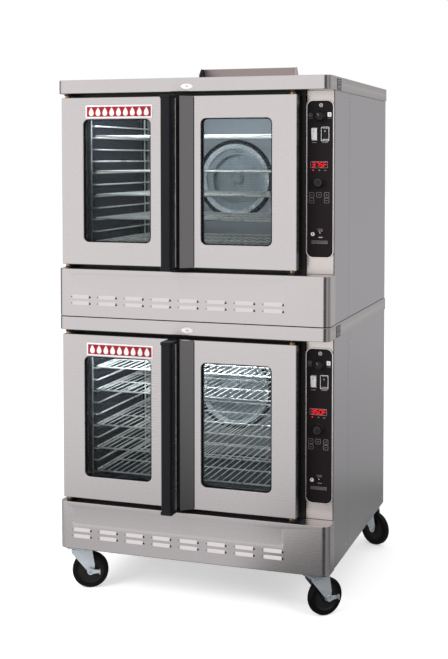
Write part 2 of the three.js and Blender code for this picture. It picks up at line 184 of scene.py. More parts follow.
def side_plate(place, name, loops, x0, x1, bevel=1.0, steps=2):
    """A plate seen from the side: loops of (y, z), from x0 to x1."""
    mesh = slab_mesh(loops, x0, x1, bevel, steps)
    mesh.transform(place.matrix() @ SIDE)
    return link(name, mesh)


def arc(cx, cy, r, start, end, steps=6):
    """Points of an arc, in degrees."""
    angles = [math.radians(start + (end - start) * i / steps) for i in range(steps + 1)]
    return [(cx + r * math.cos(a), cy + r * math.sin(a)) for a in angles]


def rounded(x0, x1, y0, y1, r, steps=6):
    """A rectangle with rounded corners, anticlockwise."""
    return (arc(x1 - r, y0 + r, r, -90, 0, steps) + arc(x1 - r, y1 - r, r, 0, 90, steps)
            + arc(x0 + r, y1 - r, r, 90, 180, steps) + arc(x0 + r, y0 + r, r, 180, 270, steps))


def rectangle(x0, x1, y0, y1):
    return [(x0, y0), (x1, y0), (x1, y1), (x0, y1)]


def circle(cx, cy, r, steps=32):
    return arc(cx, cy, r, 0, 360 - 360 / steps, steps - 1)


def rod_mesh(paths, radius, sides=8, cyclic=False):
    """Round wire along each path, with closed ends."""
    curve = bpy.data.curves.new("wire", "CURVE")
    curve.dimensions = "3D"
    curve.bevel_depth = radius
    curve.bevel_resolution = max(0, sides // 4 - 1)
    curve.use_fill_caps = True
    for path in paths:
        add_spline(curve, path, cyclic)
    mesh = curve_mesh(curve)
    tidy(mesh, 1e-4)
    return mesh


def wires(place, name, paths, radius, sides=8, cyclic=False):
    mesh = rod_mesh(paths, radius, sides, cyclic)
    mesh.transform(place.matrix())
    return link(name, mesh, 40)


def turned_mesh(profile, steps=40):
    """A piece turned about the Y axis; the profile is a list of (radius, y)."""
    bm = bmesh.new()
    rings = []
    for radius, y in profile:
        if radius < 1e-6:
            rings.append([bm.verts.new((0, y, 0))])
            continue
        angles = [2 * math.pi * i / steps for i in range(steps)]
        rings.append([bm.verts.new((radius * math.sin(a), y, radius * math.cos(a))) for a in angles])
    for one, two in zip(rings, rings[1:]):
        for i in range(steps):
            corners = [one[i % len(one)], one[(i + 1) % len(one)], two[(i + 1) % len(two)], two[i % len(two)]]
            unique = list(dict.fromkeys(corners))
            if len(unique) > 2:
                bm.faces.new(unique)
    bmesh.ops.recalc_face_normals(bm, faces=bm.faces)
    mesh = bpy.data.meshes.new("turned")
    bm.to_mesh(mesh)
    bm.free()
    return mesh


def turned(place, name, profile, centre, axis=(0, 1, 0), steps=40, smooth=35):
    """A turned piece with its Y axis laid along axis, at centre."""
    mesh = turned_mesh(profile, steps)
    turn = Vector((0, 1, 0)).rotation_difference(Vector(axis)).to_matrix().to_4x4()
    mesh.transform(place.matrix() @ Matrix.Translation(centre) @ turn)
    return link(name, mesh, smooth)


def joined_mesh(meshes):
    bm = bmesh.new()
    for mesh in meshes:
        bm.from_mesh(mesh)
        bpy.data.meshes.remove(mesh)
    whole = bpy.data.meshes.new("joined")
    bm.to_mesh(whole)
    bm.free()
    return whole


def moved(mesh, *matrices):
    for matrix in matrices:
        mesh.transform(matrix)
    return mesh


def at(x, y, z):
    return Matrix.Translation((x, y, z))


def screw_heads(place, name, points, axis, r=3.2, height=1.6):
    """Domed screw heads at the points, standing out along axis."""
    profile = [(0, height), (r * 0.45, height * 0.95), (r * 0.85, height * 0.6), (r, 0), (r, -0.5), (0, -0.5)]
    turn = Vector((0, 1, 0)).rotation_difference(Vector(axis)).to_matrix().to_4x4()
    heads = [moved(turned_mesh(profile, 14), turn, at(*point)) for point in points]
    return link(name, moved(joined_mesh(heads), place.matrix()), 50)


def dress(obj, material, body, slot, *nodes):
    """Gives a piece its material, the body it rides on and the CAD nodes it stands for."""
    obj.data.materials.clear()
    obj.data.materials.append(material)
    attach(obj, body)
    if nodes:
        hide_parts(*nodes)
    return obj


# ---- materials --------------------------------------------------------------------------
class Nodes:
    """A material's node tree with short ways to add and join its nodes."""

    def __init__(self, name):
        self.material = bpy.data.materials.new(name)
        self.material.use_nodes = True
        self.tree = self.material.node_tree
        self.shader = self.tree.nodes["Principled BSDF"]
        self.coordinates = self.tree.nodes.new("ShaderNodeTexCoord")

    def add(self, kind, **settings):
        node = self.tree.nodes.new(kind)
        for key, value in settings.items():
            setattr(node, key, value)
        return node

    def join(self, source, target):
        self.tree.links.new(source, target)

    def noise(self, scale, detail=3.0, roughness=0.5):
        """Noise over the object's own coordinates, stretched by a scale for each axis."""
        mapping = self.add("ShaderNodeMapping")
        mapping.inputs["Scale"].default_value = scale
        self.join(self.coordinates.outputs["Object"], mapping.inputs["Vector"])
        noise = self.add("ShaderNodeTexNoise")
        noise.inputs["Scale"].default_value = 1.0
        noise.inputs["Detail"].default_value = detail
        noise.inputs["Roughness"].default_value = roughness
        self.join(mapping.outputs["Vector"], noise.inputs["Vector"])
        return noise.outputs["Fac"]

    def ramp(self, source, low, high, start=0.3, end=0.7):
        """Spreads a 0 to 1 value between two colours."""
        ramp = self.add("ShaderNodeValToRGB")
        ramp.color_ramp.elements[0].position = start
        ramp.color_ramp.elements[1].position = end
        ramp.color_ramp.elements[0].color = (*low, 1)
        ramp.color_ramp.elements[1].color = (*high, 1)
        self.join(source, ramp.inputs["Fac"])
        return ramp.outputs["Color"]

    def spread(self, source, low, high):
        """Maps a noise value to the range from low to high."""
        node = self.add("ShaderNodeMapRange")
        node.inputs["From Min"].default_value = 0.3
        node.inputs["From Max"].default_value = 0.7
        node.inputs["To Min"].default_value = low
        node.inputs["To Max"].default_value = high
        self.join(source, node.inputs["Value"])
        return node.outputs["Result"]

    def multiply(self, one, two):
        mix = self.add("ShaderNodeMix", data_type="RGBA", blend_type="MULTIPLY")
        mix.inputs["Factor"].default_value = 1.0
        self.join(one, mix.inputs["A"])
        self.join(two, mix.inputs["B"])
        return mix.outputs["Result"]

    def bump(self, source, strength, distance=0.0005):
        bump = self.add("ShaderNodeBump")
        bump.inputs["Strength"].default_value = strength
        bump.inputs["Distance"].default_value = distance
        self.join(source, bump.inputs["Height"])
        self.join(bump.outputs["Normal"], self.shader.inputs["Normal"])

    def colour(self, source):
        self.join(source, self.shader.inputs["Base Color"])

    def roughness(self, source):
        self.join(source, self.shader.inputs["Roughness"])


def grey(value, warmth=0.0):
    return (value * (1 + warmth), value, value * (1 - warmth))


def tint(colour, factor):
    return tuple(min(1.0, c * factor) for c in colour)


def brushed_steel(name, colour, rough, grain, metallic=1.0, stretch=0.0):
    """Satin sheet: fine lines along one axis over slow, cloudy changes of tone."""
    nodes = Nodes(name)
    nodes.shader.inputs["Metallic"].default_value = metallic
    lines = nodes.noise(grain, 3.0, 0.6)
    clouds = nodes.noise((3.1, 3.1, 2.3), 2.0)
    fine = nodes.ramp(lines, tint(colour, 0.985), tint(colour, 1.01))
    slow = nodes.ramp(clouds, grey(0.98), grey(1.0))
    nodes.colour(nodes.multiply(fine, slow))
    nodes.roughness(nodes.spread(lines, rough - 0.01, rough + 0.01))
    nodes.bump(lines, 0.002)
    if stretch:
        tangent = nodes.add("ShaderNodeTangent", direction_type="RADIAL", axis="Z")
        nodes.join(tangent.outputs["Tangent"], nodes.shader.inputs["Tangent"])
        nodes.shader.inputs["Anisotropic"].default_value = stretch
        nodes.shader.inputs["Anisotropic Rotation"].default_value = 0.25
    return nodes.material


def plastic(name, colour, rough, grain=900, bump=0.08, gloss=0.25):
    """Moulded plastic with a fine grain and slightly uneven gloss."""
    nodes = Nodes(name)
    nodes.shader.inputs["Specular IOR Level"].default_value = gloss
    grains = nodes.noise((grain, grain, grain), 2.0)
    patches = nodes.noise((14, 14, 9), 3.0)
    nodes.colour(nodes.ramp(patches, tint(colour, 0.88), tint(colour, 1.1)))
    nodes.roughness(nodes.spread(patches, rough - 0.06, rough + 0.08))
    nodes.bump(grains, bump, 0.0003)
    return nodes.material


def glossy_wire(name, colour, rough, metallic=1.0):
    nodes = Nodes(name)
    nodes.shader.inputs["Metallic"].default_value = metallic
    stains = nodes.noise((22, 22, 22), 4.0)
    nodes.colour(nodes.ramp(stains, tint(colour, 0.82), tint(colour, 1.06)))
    nodes.roughness(nodes.spread(stains, rough, rough + 0.15))
    nodes.bump(nodes.noise((260, 260, 260), 2.0), 0.05)
    return nodes.material


def clear_glass(name, gloss):
    """Thin pane: mostly clear, with a mirror film that grows towards grazing angles."""
    nodes = Nodes(name)
    nodes.tree.nodes.remove(nodes.shader)
    clear = nodes.add("ShaderNodeBsdfTransparent")
    clear.inputs["Color"].default_value = (0.93, 0.95, 0.95, 1)
    shine = nodes.add("ShaderNodeBsdfGlossy")
    shine.inputs["Roughness"].default_value = 0.02
    shine.inputs["Color"].default_value = (gloss, gloss, gloss, 1)
    edge = nodes.add("ShaderNodeFresnel")
    edge.inputs["IOR"].default_value = 1.4
    mix = nodes.add("ShaderNodeMixShader")
    nodes.join(edge.outputs["Fac"], mix.inputs["Fac"])
    nodes.join(clear.outputs["BSDF"], mix.inputs[1])
    nodes.join(shine.outputs["BSDF"], mix.inputs[2])
    nodes.join(mix.outputs["Shader"], nodes.tree.nodes["Material Output"].inputs["Surface"])
    return nodes.material


def glowing(name, colour, strength):
    nodes = Nodes(name)
    nodes.shader.inputs["Base Color"].default_value = (*tint(colour, 0.3), 1)
    nodes.shader.inputs["Emission Color"].default_value = (*colour, 1)
    nodes.shader.inputs["Emission Strength"].default_value = strength
    nodes.shader.inputs["Specular IOR Level"].default_value = 0.02
    nodes.roughness(nodes.spread(nodes.noise((300, 300, 300)), 0.6, 0.7))
    return nodes.material


ALONG_X = (9, 700, 700)
ALONG_Z = (700, 700, 9)
FRONT_STEEL = brushed_steel("front_steel", (0.67, 0.628, 0.634), 0.27, ALONG_X, 1.0, 0.7)
DOOR_STEEL = brushed_steel("door_steel", (0.67, 0.63, 0.636), 0.27, ALONG_X, 1.0, 0.7)
FASCIA_STEEL = brushed_steel("fascia_steel", (0.74, 0.68, 0.655), 0.27, ALONG_X, 1.0, 0.7)
# near-black copy of the hood steel for the left wing: painted shade on its inner face
HOOD_PAINTED_SHADE = brushed_steel("hood_painted_shade", (0.02, 0.018, 0.018), 0.5, ALONG_X, 0.3)
SIDE_STEEL = brushed_steel("side_steel", (0.60, 0.58, 0.60), 0.33, ALONG_Z)
HOOD_STEEL = brushed_steel("hood_steel", (0.7, 0.62, 0.61), 0.4, ALONG_X)
# darker copy of the door steel for the flared flange: painted shade standing for the dark reflection it shows
FLANGE_PAINTED_SHADE = brushed_steel("flange_painted_shade_steel", (0.42, 0.405, 0.41), 0.3, ALONG_Z)
# brighter copy of the front steel for the louvre ribs: a painted highlight that makes them stand out from the
# sheet
LOUVRE_PAINTED_HIGHLIGHT = brushed_steel("louvre_painted_highlight_steel", (0.79, 0.742, 0.75), 0.24, ALONG_X, 1.0, 0.7)
CAVITY_STEEL = brushed_steel("cavity_steel", (0.34, 0.35, 0.37), 0.42, ALONG_Z, 0.45)
# near-black steel for the leaf's back and sides and its window sleeve: painted shade
DOOR_EDGE_PAINTED_SHADE = brushed_steel("door_edge_painted_shade_steel", (0.1, 0.1, 0.105), 0.3, ALONG_Z)
# near-black steel for the front frame, the louvre hem and the hinge ears: painted shade in the gaps and under
# the panels
FRAME_PAINTED_SHADE = brushed_steel("front_frame_painted_shade_steel", (0.035, 0.033, 0.032), 0.4, ALONG_X, 0.6)
ENAMEL = plastic("cavity_enamel", (0.013, 0.015, 0.021), 0.16, 60, 0.05, 0.6)
WIRE = glossy_wire("rack_wire", (0.88, 0.84, 0.79), 0.25, 0.35)
# bright, warm steel for the control panel's rim and the handle strip: painted highlight
RIM_PAINTED_HIGHLIGHT = glossy_wire("panel_rim_painted_highlight_steel", (0.92, 0.86, 0.84), 0.2)
POLISHED = glossy_wire("polished_ring", (0.8, 0.82, 0.86), 0.15, 0.8)
GUARD = glossy_wire("guard_wire", (0.5, 0.53, 0.58), 0.3, 0.6)
ZINC = glossy_wire("zinc_plate", (0.74, 0.8, 0.85), 0.25, 0.75)
BRONZE = glossy_wire("bronze_bush", (0.55, 0.33, 0.18), 0.3)
PANEL_BLACK = plastic("panel_black", (0.012, 0.0075, 0.009), 0.42, 1400, 0.05, 0.16)
DISPLAY_DARK = plastic("display_dark", (0.012, 0.002, 0.002), 0.2, 1400, 0.02)
KNOB_BLACK = plastic("knob_black", (0.012, 0.011, 0.012), 0.38)
HANDLE_BLACK = plastic("handle_black", (0.006, 0.006, 0.009), 0.34)
SEAL_BLACK = plastic("seal_black", (0.006, 0.006, 0.006), 0.6, gloss=0.15)
WHITE_PLASTIC = plastic("white_plastic", (0.95, 0.95, 0.95), 0.35)
PRINT_GREY = plastic("print_grey", (0.24, 0.22, 0.22), 0.5)
PRINT_WHITE = plastic("print_white", (0.93, 0.92, 0.92), 0.5)
EMBLEM = plastic("emblem_enamel", (0.88, 0.84, 0.85), 0.3)
EMBLEM_MARK = plastic("emblem_mark", (0.5, 0.3, 0.32), 0.3)
BADGE_RED = plastic("badge_red", (0.36, 0.010, 0.022), 0.35)
LABEL_DARK = plastic("label_dark", (0.09, 0.085, 0.1), 0.4)
TREAD = plastic("tread_rubber", (0.004, 0.004, 0.005), 0.5, 500, 0.15, 0.12)
GLASS = clear_glass("door_glass", 0.16)
DIGIT_RED = glowing("display_red", (1.0, 0.018, 0.03), 1.15)


# ---- a deck's sheet metal ---------------------------------------------------------------
def rounded_front_plan(half_width, y0, y1, r):
    """Plan of cap and louvre panel: a rectangle with its two front corners rounded."""
    return (arc(-half_width + r, y0 + r, r, 180, 270, 10) + arc(half_width - r, y0 + r, r, 270, 360, 10)
            + [(half_width, y1), (-half_width, y1)])


def build_cap(deck, place, top):
    plan = rounded_front_plan(HALF_WIDTH, 0, DEPTH, CORNER_R)
    cap = plan_plate(place, f"{deck}_cap", [plan], CAP_Z[0], top, 2.0, 3)
    dress(cap, FRONT_STEEL, "oven", "front_steel", f"{deck}_top_cap")
    turns = [2 * math.pi * i / 28 for i in range(28)]
    for part, a, b, y, material in (("emblem", 21, 9, -1.0, EMBLEM),
                                    ("emblem_mark", 5, 2, -1.4, EMBLEM_MARK)):
        oval = [(-6 + a * math.cos(t), 790 + b * math.sin(t)) for t in turns]
        dress(front_plate(place, f"{deck}_cap_{part}", [oval], y, 0.4, 0.4), material, "oven",
              "white_plastic")
    label = side_plate(place, f"{deck}_cap_label", [rounded(92, 150, CAP_Z[0] + 2, CAP_Z[1] - 6, 2)],
                       HALF_WIDTH - 0.2, HALF_WIDTH + 0.8, 0.3)
    dress(label, LABEL_DARK, "oven", "panel_black")
    bars = [slab_mesh([rectangle(98, 144, z, z + 2.2)], HALF_WIDTH + 0.6, HALF_WIDTH + 1.1, 0.1, 1)
            for z in (CAP_Z[0] + 8, CAP_Z[0] + 14, CAP_Z[0] + 24, CAP_Z[0] + 32)]
    bars = link(f"{deck}_cap_label_bars", moved(joined_mesh(bars), SIDE, place.matrix()))
    dress(bars, SIDE_STEEL, "oven", "panel_black")


def sheet_path(s):
    """Where a point of the louvre panel's flat sheet, s from its middle, lies in plan."""
    flat = HALF_WIDTH - CORNER_R
    bend = CORNER_R * math.pi / 2
    side = math.copysign(1, s)
    s = abs(s)
    if s <= flat:
        return side * s, 0.0
    if s <= flat + bend:
        angle = (s - flat) / CORNER_R
        return side * (flat + CORNER_R * math.sin(angle)), CORNER_R * (1 - math.cos(angle))
    return side * HALF_WIDTH, CORNER_R + s - flat - bend


def fill_between(bm, outer, holes):
    """Fills the flat region between an outline of points and its holes."""
    edges = []
    for loop in [outer, *holes]:
        for one, two in zip(loop, loop[1:] + loop[:1]):
            edges.append(bm.edges.get((one, two)) or bm.edges.new((one, two)))
    bmesh.ops.triangle_fill(bm, use_beauty=True, use_dissolve=False, edges=edges)


def loop_points(bm, points, depth=0.0):
    return [bm.verts.new((a, depth, b)) for a, b in points]


def bridge(bm, one, two):
    for i in range(len(one)):
        j = (i + 1) % len(one)
        bm.faces.new((one[i], one[j], two[j], two[i]))


LOUVRE_X0, LOUVRE_PITCH, LOUVRE_WIDTH, LOUVRE_ROWS = -433, 99.3, 65, (48.5, 71)


def louvre_places():
    return [(LOUVRE_X0 + i * LOUVRE_PITCH, z) for z in LOUVRE_ROWS for i in range(8)]


def build_louvre_panel(deck, place):
    """The lower front: one folded sheet with a pressed field and rows of raised louvres."""
    flat = HALF_WIDTH - CORNER_R
    bend = CORNER_R * math.pi / 2
    reach = flat + bend + RECESS_Y - CORNER_R
    bm = bmesh.new()
    outline = loop_points(bm, rectangle(-reach, reach, 2.8, PANEL_TOP - 1.5))
    field = loop_points(bm, rounded(-436, 333, 89, 149, 6, 4))
    floor = loop_points(bm, rounded(-432, 329, 93, 145, 4, 4), 1.6)
    holes = []
    for x, z in louvre_places():
        right = x + LOUVRE_WIDTH
        holes.append(loop_points(bm, [(right - 1, z - 4.5), (right + 7, z - 4.5), (right + 3, z + 4.5)]))
        holes.append(loop_points(bm, [(x - 4, z - 2.5), (x + 0.5, z - 2.5), (x - 1.5, z + 2.5)]))
    fill_between(bm, outline, [field, *holes])
    bridge(bm, field, floor)
    fill_between(bm, floor, [])
    for i in range(11):
        for side in (-1, 1):
            s = side * (flat + bend * i / 10)
            bmesh.ops.bisect_plane(bm, geom=bm.verts[:] + bm.edges[:] + bm.faces[:], plane_co=(s, 0, 0),
                                   plane_no=(1, 0, 0))
    for vert in bm.verts:
        x, y = sheet_path(vert.co.x)
        vert.co = (x, y + vert.co.y, vert.co.z)
    bmesh.ops.recalc_face_normals(bm, faces=bm.faces)
    if sum(f.normal.y for f in bm.faces if abs(f.normal.y) > 0.9) > 0:
        bmesh.ops.reverse_faces(bm, faces=bm.faces)
    mesh = bpy.data.meshes.new("louvre_panel")
    bm.to_mesh(mesh)
    bm.free()
    mesh.transform(place.matrix())
    panel = link(f"{deck}_louvre_front", mesh, 0)
    apply_modifiers(panel, [("SOLIDIFY", {"thickness": 0.0015, "offset": -1.0})])
    panel.data.shade_smooth()
    panel.data.set_sharp_from_angle(angle=math.radians(24))
    apply_modifiers(panel, [("WEIGHTED_NORMAL", {"keep_sharp": True})])
    dress(panel, FRONT_STEEL, "oven", "front_steel", f"{deck}_louvre_panel")

    plan = rounded_front_plan(HALF_WIDTH, 0.05, RECESS_Y, CORNER_R)
    shelf = plan_plate(place, f"{deck}_louvre_shelf", [plan], PANEL_TOP - 3.2, PANEL_TOP, 1.5, 3)
    dress(shelf, FRONT_STEEL, "oven", "front_steel")
    # hem under the louvre shelf, painted near black as shade
    plan = rounded_front_plan(HALF_WIDTH - 2.5, 2.5, RECESS_Y, CORNER_R - 2.5)
    hem = plan_plate(place, f"{deck}_louvre_hem", [plan], 0.4, 4.0, 0.8)
    dress(hem, FRAME_PAINTED_SHADE, "oven", "front_steel")
    build_louvres(deck, place)


# How far a louvre stands out, from its top edge down to its open lower edge.
LOUVRE_SLOPE = (0, 0.05, 0.17, 0.34, 0.54, 0.73, 0.89, 0.98, 0)


def build_louvres(deck, place):
    """Raised louvres: half-round ribs that flatten into the sheet at both ends."""
    bm = bmesh.new()
    stations = [(0.0, 0.0), (2.5, 0.55), (6.0, 0.95), (11.0, 1.0), (54.0, 1.0), (60.0, 1.0), (64.8, 0.9)]
    proud = 3.2
    for x, z in louvre_places():
        rings = []
        for along, swell in stations:
            ring = []
            for i in range(9):
                angle = math.pi * i / 8
                ring.append(bm.verts.new((x + along, 0.2 - proud * swell * LOUVRE_SLOPE[i],
                                          z + 6.8 * (0.5 + 0.5 * swell) * math.cos(angle))))
            rings.append(ring)
        for one, two in zip(rings, rings[1:]):
            for i in range(8):
                bm.faces.new((one[i], one[i + 1], two[i + 1], two[i]))
            bm.faces.new((one[8], one[0], two[0], two[8]))
        bm.faces.new(rings[0])
        bm.faces.new(rings[-1])
    bmesh.ops.recalc_face_normals(bm, faces=bm.faces)
    mesh = bpy.data.meshes.new("louvres")
    bm.to_mesh(mesh)
    bm.free()
    mesh.transform(place.matrix())
    # the ribs get the brighter steel, a painted highlight
    dress(link(f"{deck}_louvres", mesh, 50), LOUVRE_PAINTED_HIGHLIGHT, "oven", "front_steel")


def build_cabinet(deck, place):
    """Side, back and base sheets, with their seams and screws."""
    back = DEPTH - 0.4
    top = CAP_Z[0] - 0.4
    left = side_plate(place, f"{deck}_side_left", [rectangle(RECESS_Y + 0.5, back, 1, top)], -SIDE_X,
                      -SIDE_X + 3, 1.2)
    dress(left, SIDE_STEEL, "oven", "side_steel", f"{deck}_cabinet")
    right = side_plate(place, f"{deck}_side_right", [rectangle(SIDE_SEAM_Y + 1.1, back, 1, top)],
                       SIDE_X - 3, SIDE_X, 1.2)
    dress(right, SIDE_STEEL, "oven", "side_steel")
    rear = front_plate(place, f"{deck}_back", [rectangle(-SIDE_X + 3.2, SIDE_X - 3.2, 1, top)], back - 3,
                       back, 1.0)
    dress(rear, SIDE_STEEL, "oven", "side_steel")
    base = plan_plate(place, f"{deck}_base", [rectangle(-470, 470, 30, back - 4)], 0.6, 4, 1.0)
    dress(base, SIDE_STEEL, "oven", "side_steel")
    rear_details(deck, place, back)
    sides = [(s * SIDE_X, y, z) for s in (-1, 1) for y in (320, 880) for z in (30, 745)]
    for s in (-1, 1):
        points = [p for p in sides if p[0] * s > 0]
        screws = screw_heads(place, f"{deck}_side_screws_{'right' if s > 0 else 'left'}", points, (s, 0, 0))
        dress(screws, ZINC, "oven", "zinc")


def rear_details(deck, place, back):
    """A bolted motor cover with rows of vents, on the back sheet."""
    vents = [rounded(CENTRE_X - 110 + 78 * i, CENTRE_X - 46 + 78 * i, z, z + 7, 3.4, 4)
             for z in range(390, 560, 18) for i in range(3)]
    cover = front_plate(place, f"{deck}_motor_cover",
                        [rounded(CENTRE_X - 160, CENTRE_X + 160, CENTRE_Z - 160, CENTRE_Z + 160, 12)] + vents,
                        back - 0.2, back + 3.4, 1.0)
    dress(cover, SIDE_STEEL, "oven", "side_steel")
    dark = front_plate(place, f"{deck}_motor_cover_gauze",
                       [rectangle(CENTRE_X - 130, CENTRE_X + 130, 380, 570)], back - 0.3, back + 0.8, 0.3)
    dress(dark, SEAL_BLACK, "oven", "panel_black")
    bolts = [(CENTRE_X + a * 148, back + 3.2, CENTRE_Z + b * 148) for a in (-1, 1) for b in (-1, 0, 1)]
    edge = [(a * 470, back, z) for a in (-1, 1) for z in (30, 280, 520, 745)]
    dress(screw_heads(place, f"{deck}_back_screws", bolts + edge, (0, 1, 0)), ZINC, "oven", "zinc")


def build_control_housing(deck, place):
    """Fascia beside the doors, and the front strip of the side with its bent edge."""
    y = RECESS_Y + 0.4
    bend = 3
    fascia = front_plate(place, f"{deck}_control_fascia",
                         [rectangle(FASCIA_X + 0.5, SIDE_X - bend - 0.4, PANEL_TOP + 0.6, CAP_Z[0] - 0.4)],
                         y, y + 3, 0.8)
    dress(fascia, FASCIA_STEEL, "oven", "front_steel", f"{deck}_control_housing")
    strip = arc(SIDE_X - bend, y + bend, bend, 270, 360, 5)
    strip += [(SIDE_X, SIDE_SEAM_Y - 0.9), (SIDE_X - bend, SIDE_SEAM_Y - 0.9)]
    side = plan_plate(place, f"{deck}_side_front", [strip], 1, CAP_Z[0] - 0.4, 0.8)
    dress(side, SIDE_STEEL, "oven", "side_steel")
    screws = screw_heads(place, f"{deck}_housing_screws", [(SIDE_X, 262, 30), (SIDE_X, 262, 745)], (1, 0, 0))
    dress(screws, ZINC, "oven", "zinc")


# ---- a deck's cavity --------------------------------------------------------------------
def build_liner(deck, place):
    """Front frame painted near black as the shade in the gaps round the doors, with its gasket, the enamelled
    cavity behind it and the fan baffle.
    """
    x0, x1 = CAVITY_X
    z0, z1 = CAVITY_Z
    opening = rounded(x0, x1, z0, z1, 10)
    face = front_plate(place, f"{deck}_front_frame",
                       [rectangle(-478.5, FASCIA_X + 1, PANEL_TOP + 0.6, CAP_Z[0] - 0.4), opening], FRAME_Y,
                       FRAME_Y + 3, 0.6)
    dress(face, FRAME_PAINTED_SHADE, "oven", "cavity_steel", f"{deck}_oven_liner")
    gasket = front_plate(place, f"{deck}_door_gasket",
                         [rounded(x0 - 13, x1 + 13, z0 - 13, z1 + 13, 20), opening],
                         60.6, FRAME_Y + 0.5, 2.6, 3)
    dress(gasket, SEAL_BLACK, "oven", "panel_black")
    tub = front_plate(place, f"{deck}_cavity_walls",
                      [rounded(x0 - 3.5, x1 + 3.5, z0 - 3.5, z1 + 3.5, 13), opening],
                      FRAME_Y + 3, CAVITY_BACK, 0.3, 1)
    dress(tub, ENAMEL, "oven", "cavity_steel")
    rear = front_plate(place, f"{deck}_cavity_back",
                       [rounded(x0 - 3, x1 + 3, z0 - 3, z1 + 3, 12), circle(CENTRE_X, CENTRE_Z, 13, 20)],
                       CAVITY_BACK, CAVITY_BACK + 3.5, 0.3, 1)
    dress(rear, ENAMEL, "oven", "cavity_steel")
    slots = [rounded(x, x + 18, z0 + 25, z1 - 25, 8, 4) for x in (x0 + 12, x1 - 30)]
    baffle = front_plate(place, f"{deck}_fan_baffle",
                         [rounded(x0 + 1, x1 - 1, z0 + 1, z1 - 1, 9), circle(CENTRE_X, CENTRE_Z, 128, 64),
                          *slots],
                         BAFFLE_Y, BAFFLE_Y + 2.5, 0.5)
    dress(baffle, CAVITY_STEEL, "oven", "cavity_steel")
    middle = (CENTRE_X, BAFFLE_Y - 0.4, CENTRE_Z)
    lip = [(136, 0.2), (136, -4.2), (139, -5.9), (144, -6.6), (149, -5.9), (152, -3.8), (153, 0),
           (151, 0.2), (136, 0.2)]
    dress(turned(place, f"{deck}_inlet_lip", lip, middle, steps=64), ENAMEL, "oven", "cavity_steel")
    cone = [(126, 4), (118, -0.7), (119, -1.4), (136.5, -4.6), (137.5, -3.8), (134, -0.9), (130, 4), (126, 4)]
    dress(turned(place, f"{deck}_inlet_cone", cone, middle, steps=64), POLISHED, "oven", "wire")
    build_guard(deck, place)
    build_hinge_brackets(deck, place)


def build_guard(deck, place):
    """Wire mesh over the fan inlet."""
    r = 120
    y = BAFFLE_Y + 0.5
    pitch = 9.5
    paths = []
    for i in range(-12, 13):
        offset = i * pitch
        half = math.sqrt(max(0.0, r * r - offset * offset))
        if half > 12:
            paths.append([(CENTRE_X + offset, y, CENTRE_Z - half), (CENTRE_X + offset, y, CENTRE_Z + half)])
            paths.append([(CENTRE_X - half, y + 1.6, CENTRE_Z + offset),
                          (CENTRE_X + half, y + 1.6, CENTRE_Z + offset)])
    dress(wires(place, f"{deck}_fan_guard", paths, 0.8, 4), GUARD, "oven", "wire")


def build_hinge_brackets(deck, place):
    """Bronze-bushed ears that carry the doors' pins, above and below each leaf."""
    for side, x in (("left", -452), ("right", 357)):
        ears = []
        for z in (169.5, 765.5):
            plan = arc(x, HINGE_Y, 12, 180, 360, 10) + [(x + 12, FRAME_Y + 1), (x - 12, FRAME_Y + 1)]
            ears.append(slab_mesh([plan, circle(x, HINGE_Y, 6.6, 20)], z, z + 5, 0.8))
        # the ears are painted near black as the shade in the gap under the cap
        dress(link(f"{deck}_hinge_ears_{side}", moved(joined_mesh(ears), place.matrix())), FRAME_PAINTED_SHADE,
              "oven", "zinc")


def build_guides(deck, place):
    """Ladder of round wire on each side wall, with a ledge for each rack position."""
    for side, wall, inward in (("left", CAVITY_X[0], 1), ("right", CAVITY_X[1], -1)):
        post_x = wall + inward * 6.5
        paths = [[(post_x, y, 226), (post_x, y, 712)] for y in (112, 600)]
        for k in range(11):
            z = RACK_Z + k * RACK_PITCH - 6
            tip = wall + inward * 27.5
            paths.append([(post_x, 118, z), (tip - inward * 6, 112, z), (tip, 118, z), (tip, 594, z),
                          (tip - inward * 6, 600, z), (post_x, 594, z)])
        guide = wires(place, f"{deck}_guide_{side}", paths, 3.0, 8)
        dress(guide, WIRE, "oven", "wire", f"{deck}_rack_guide_{side}")


def rack_wire_mesh():
    """A welded wire rack about its middle: a rim, two cross rods and lengthwise wires."""
    x0, x1, y0, y1 = -350, 350, 105, 632
    rim = [(x, y, 0) for x, y in rounded(x0 + 3, x1 - 3, y0 + 3, y1 - 3, 14, 5)]
    heavy = rod_mesh([rim], 3.0, 8, cyclic=True)
    rods = rod_mesh([[(x0 + 5, y, -0.4), (x1 - 5, y, -0.4)] for y in (y0 + 175, y0 + 350)], 2.3, 8)
    count = 27
    step = (x1 - x0 - 40) / (count - 1)
    lines = rod_mesh([[(x0 + 20 + i * step, y0 + 1.5, 1.9), (x0 + 20 + i * step, y1 - 1.5, 1.9)]
                      for i in range(count)], 1.5, 8)
    return joined_mesh([heavy, rods, lines])


def build_racks(deck, place, mesh):
    for i in range(1, 6):
        low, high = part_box(f"{deck}_rack_{i}")
        rack = bpy.data.objects.new(f"{deck}_wire_rack_{i}", mesh)
        bpy.context.scene.collection.objects.link(rack)
        rack.location = ((low.x + high.x) / 2, place.origin.y, (low.z + high.z) / 2)
        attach(rack, f"{deck}_rack_{i}")
        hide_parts(f"{deck}_rack_{i}")


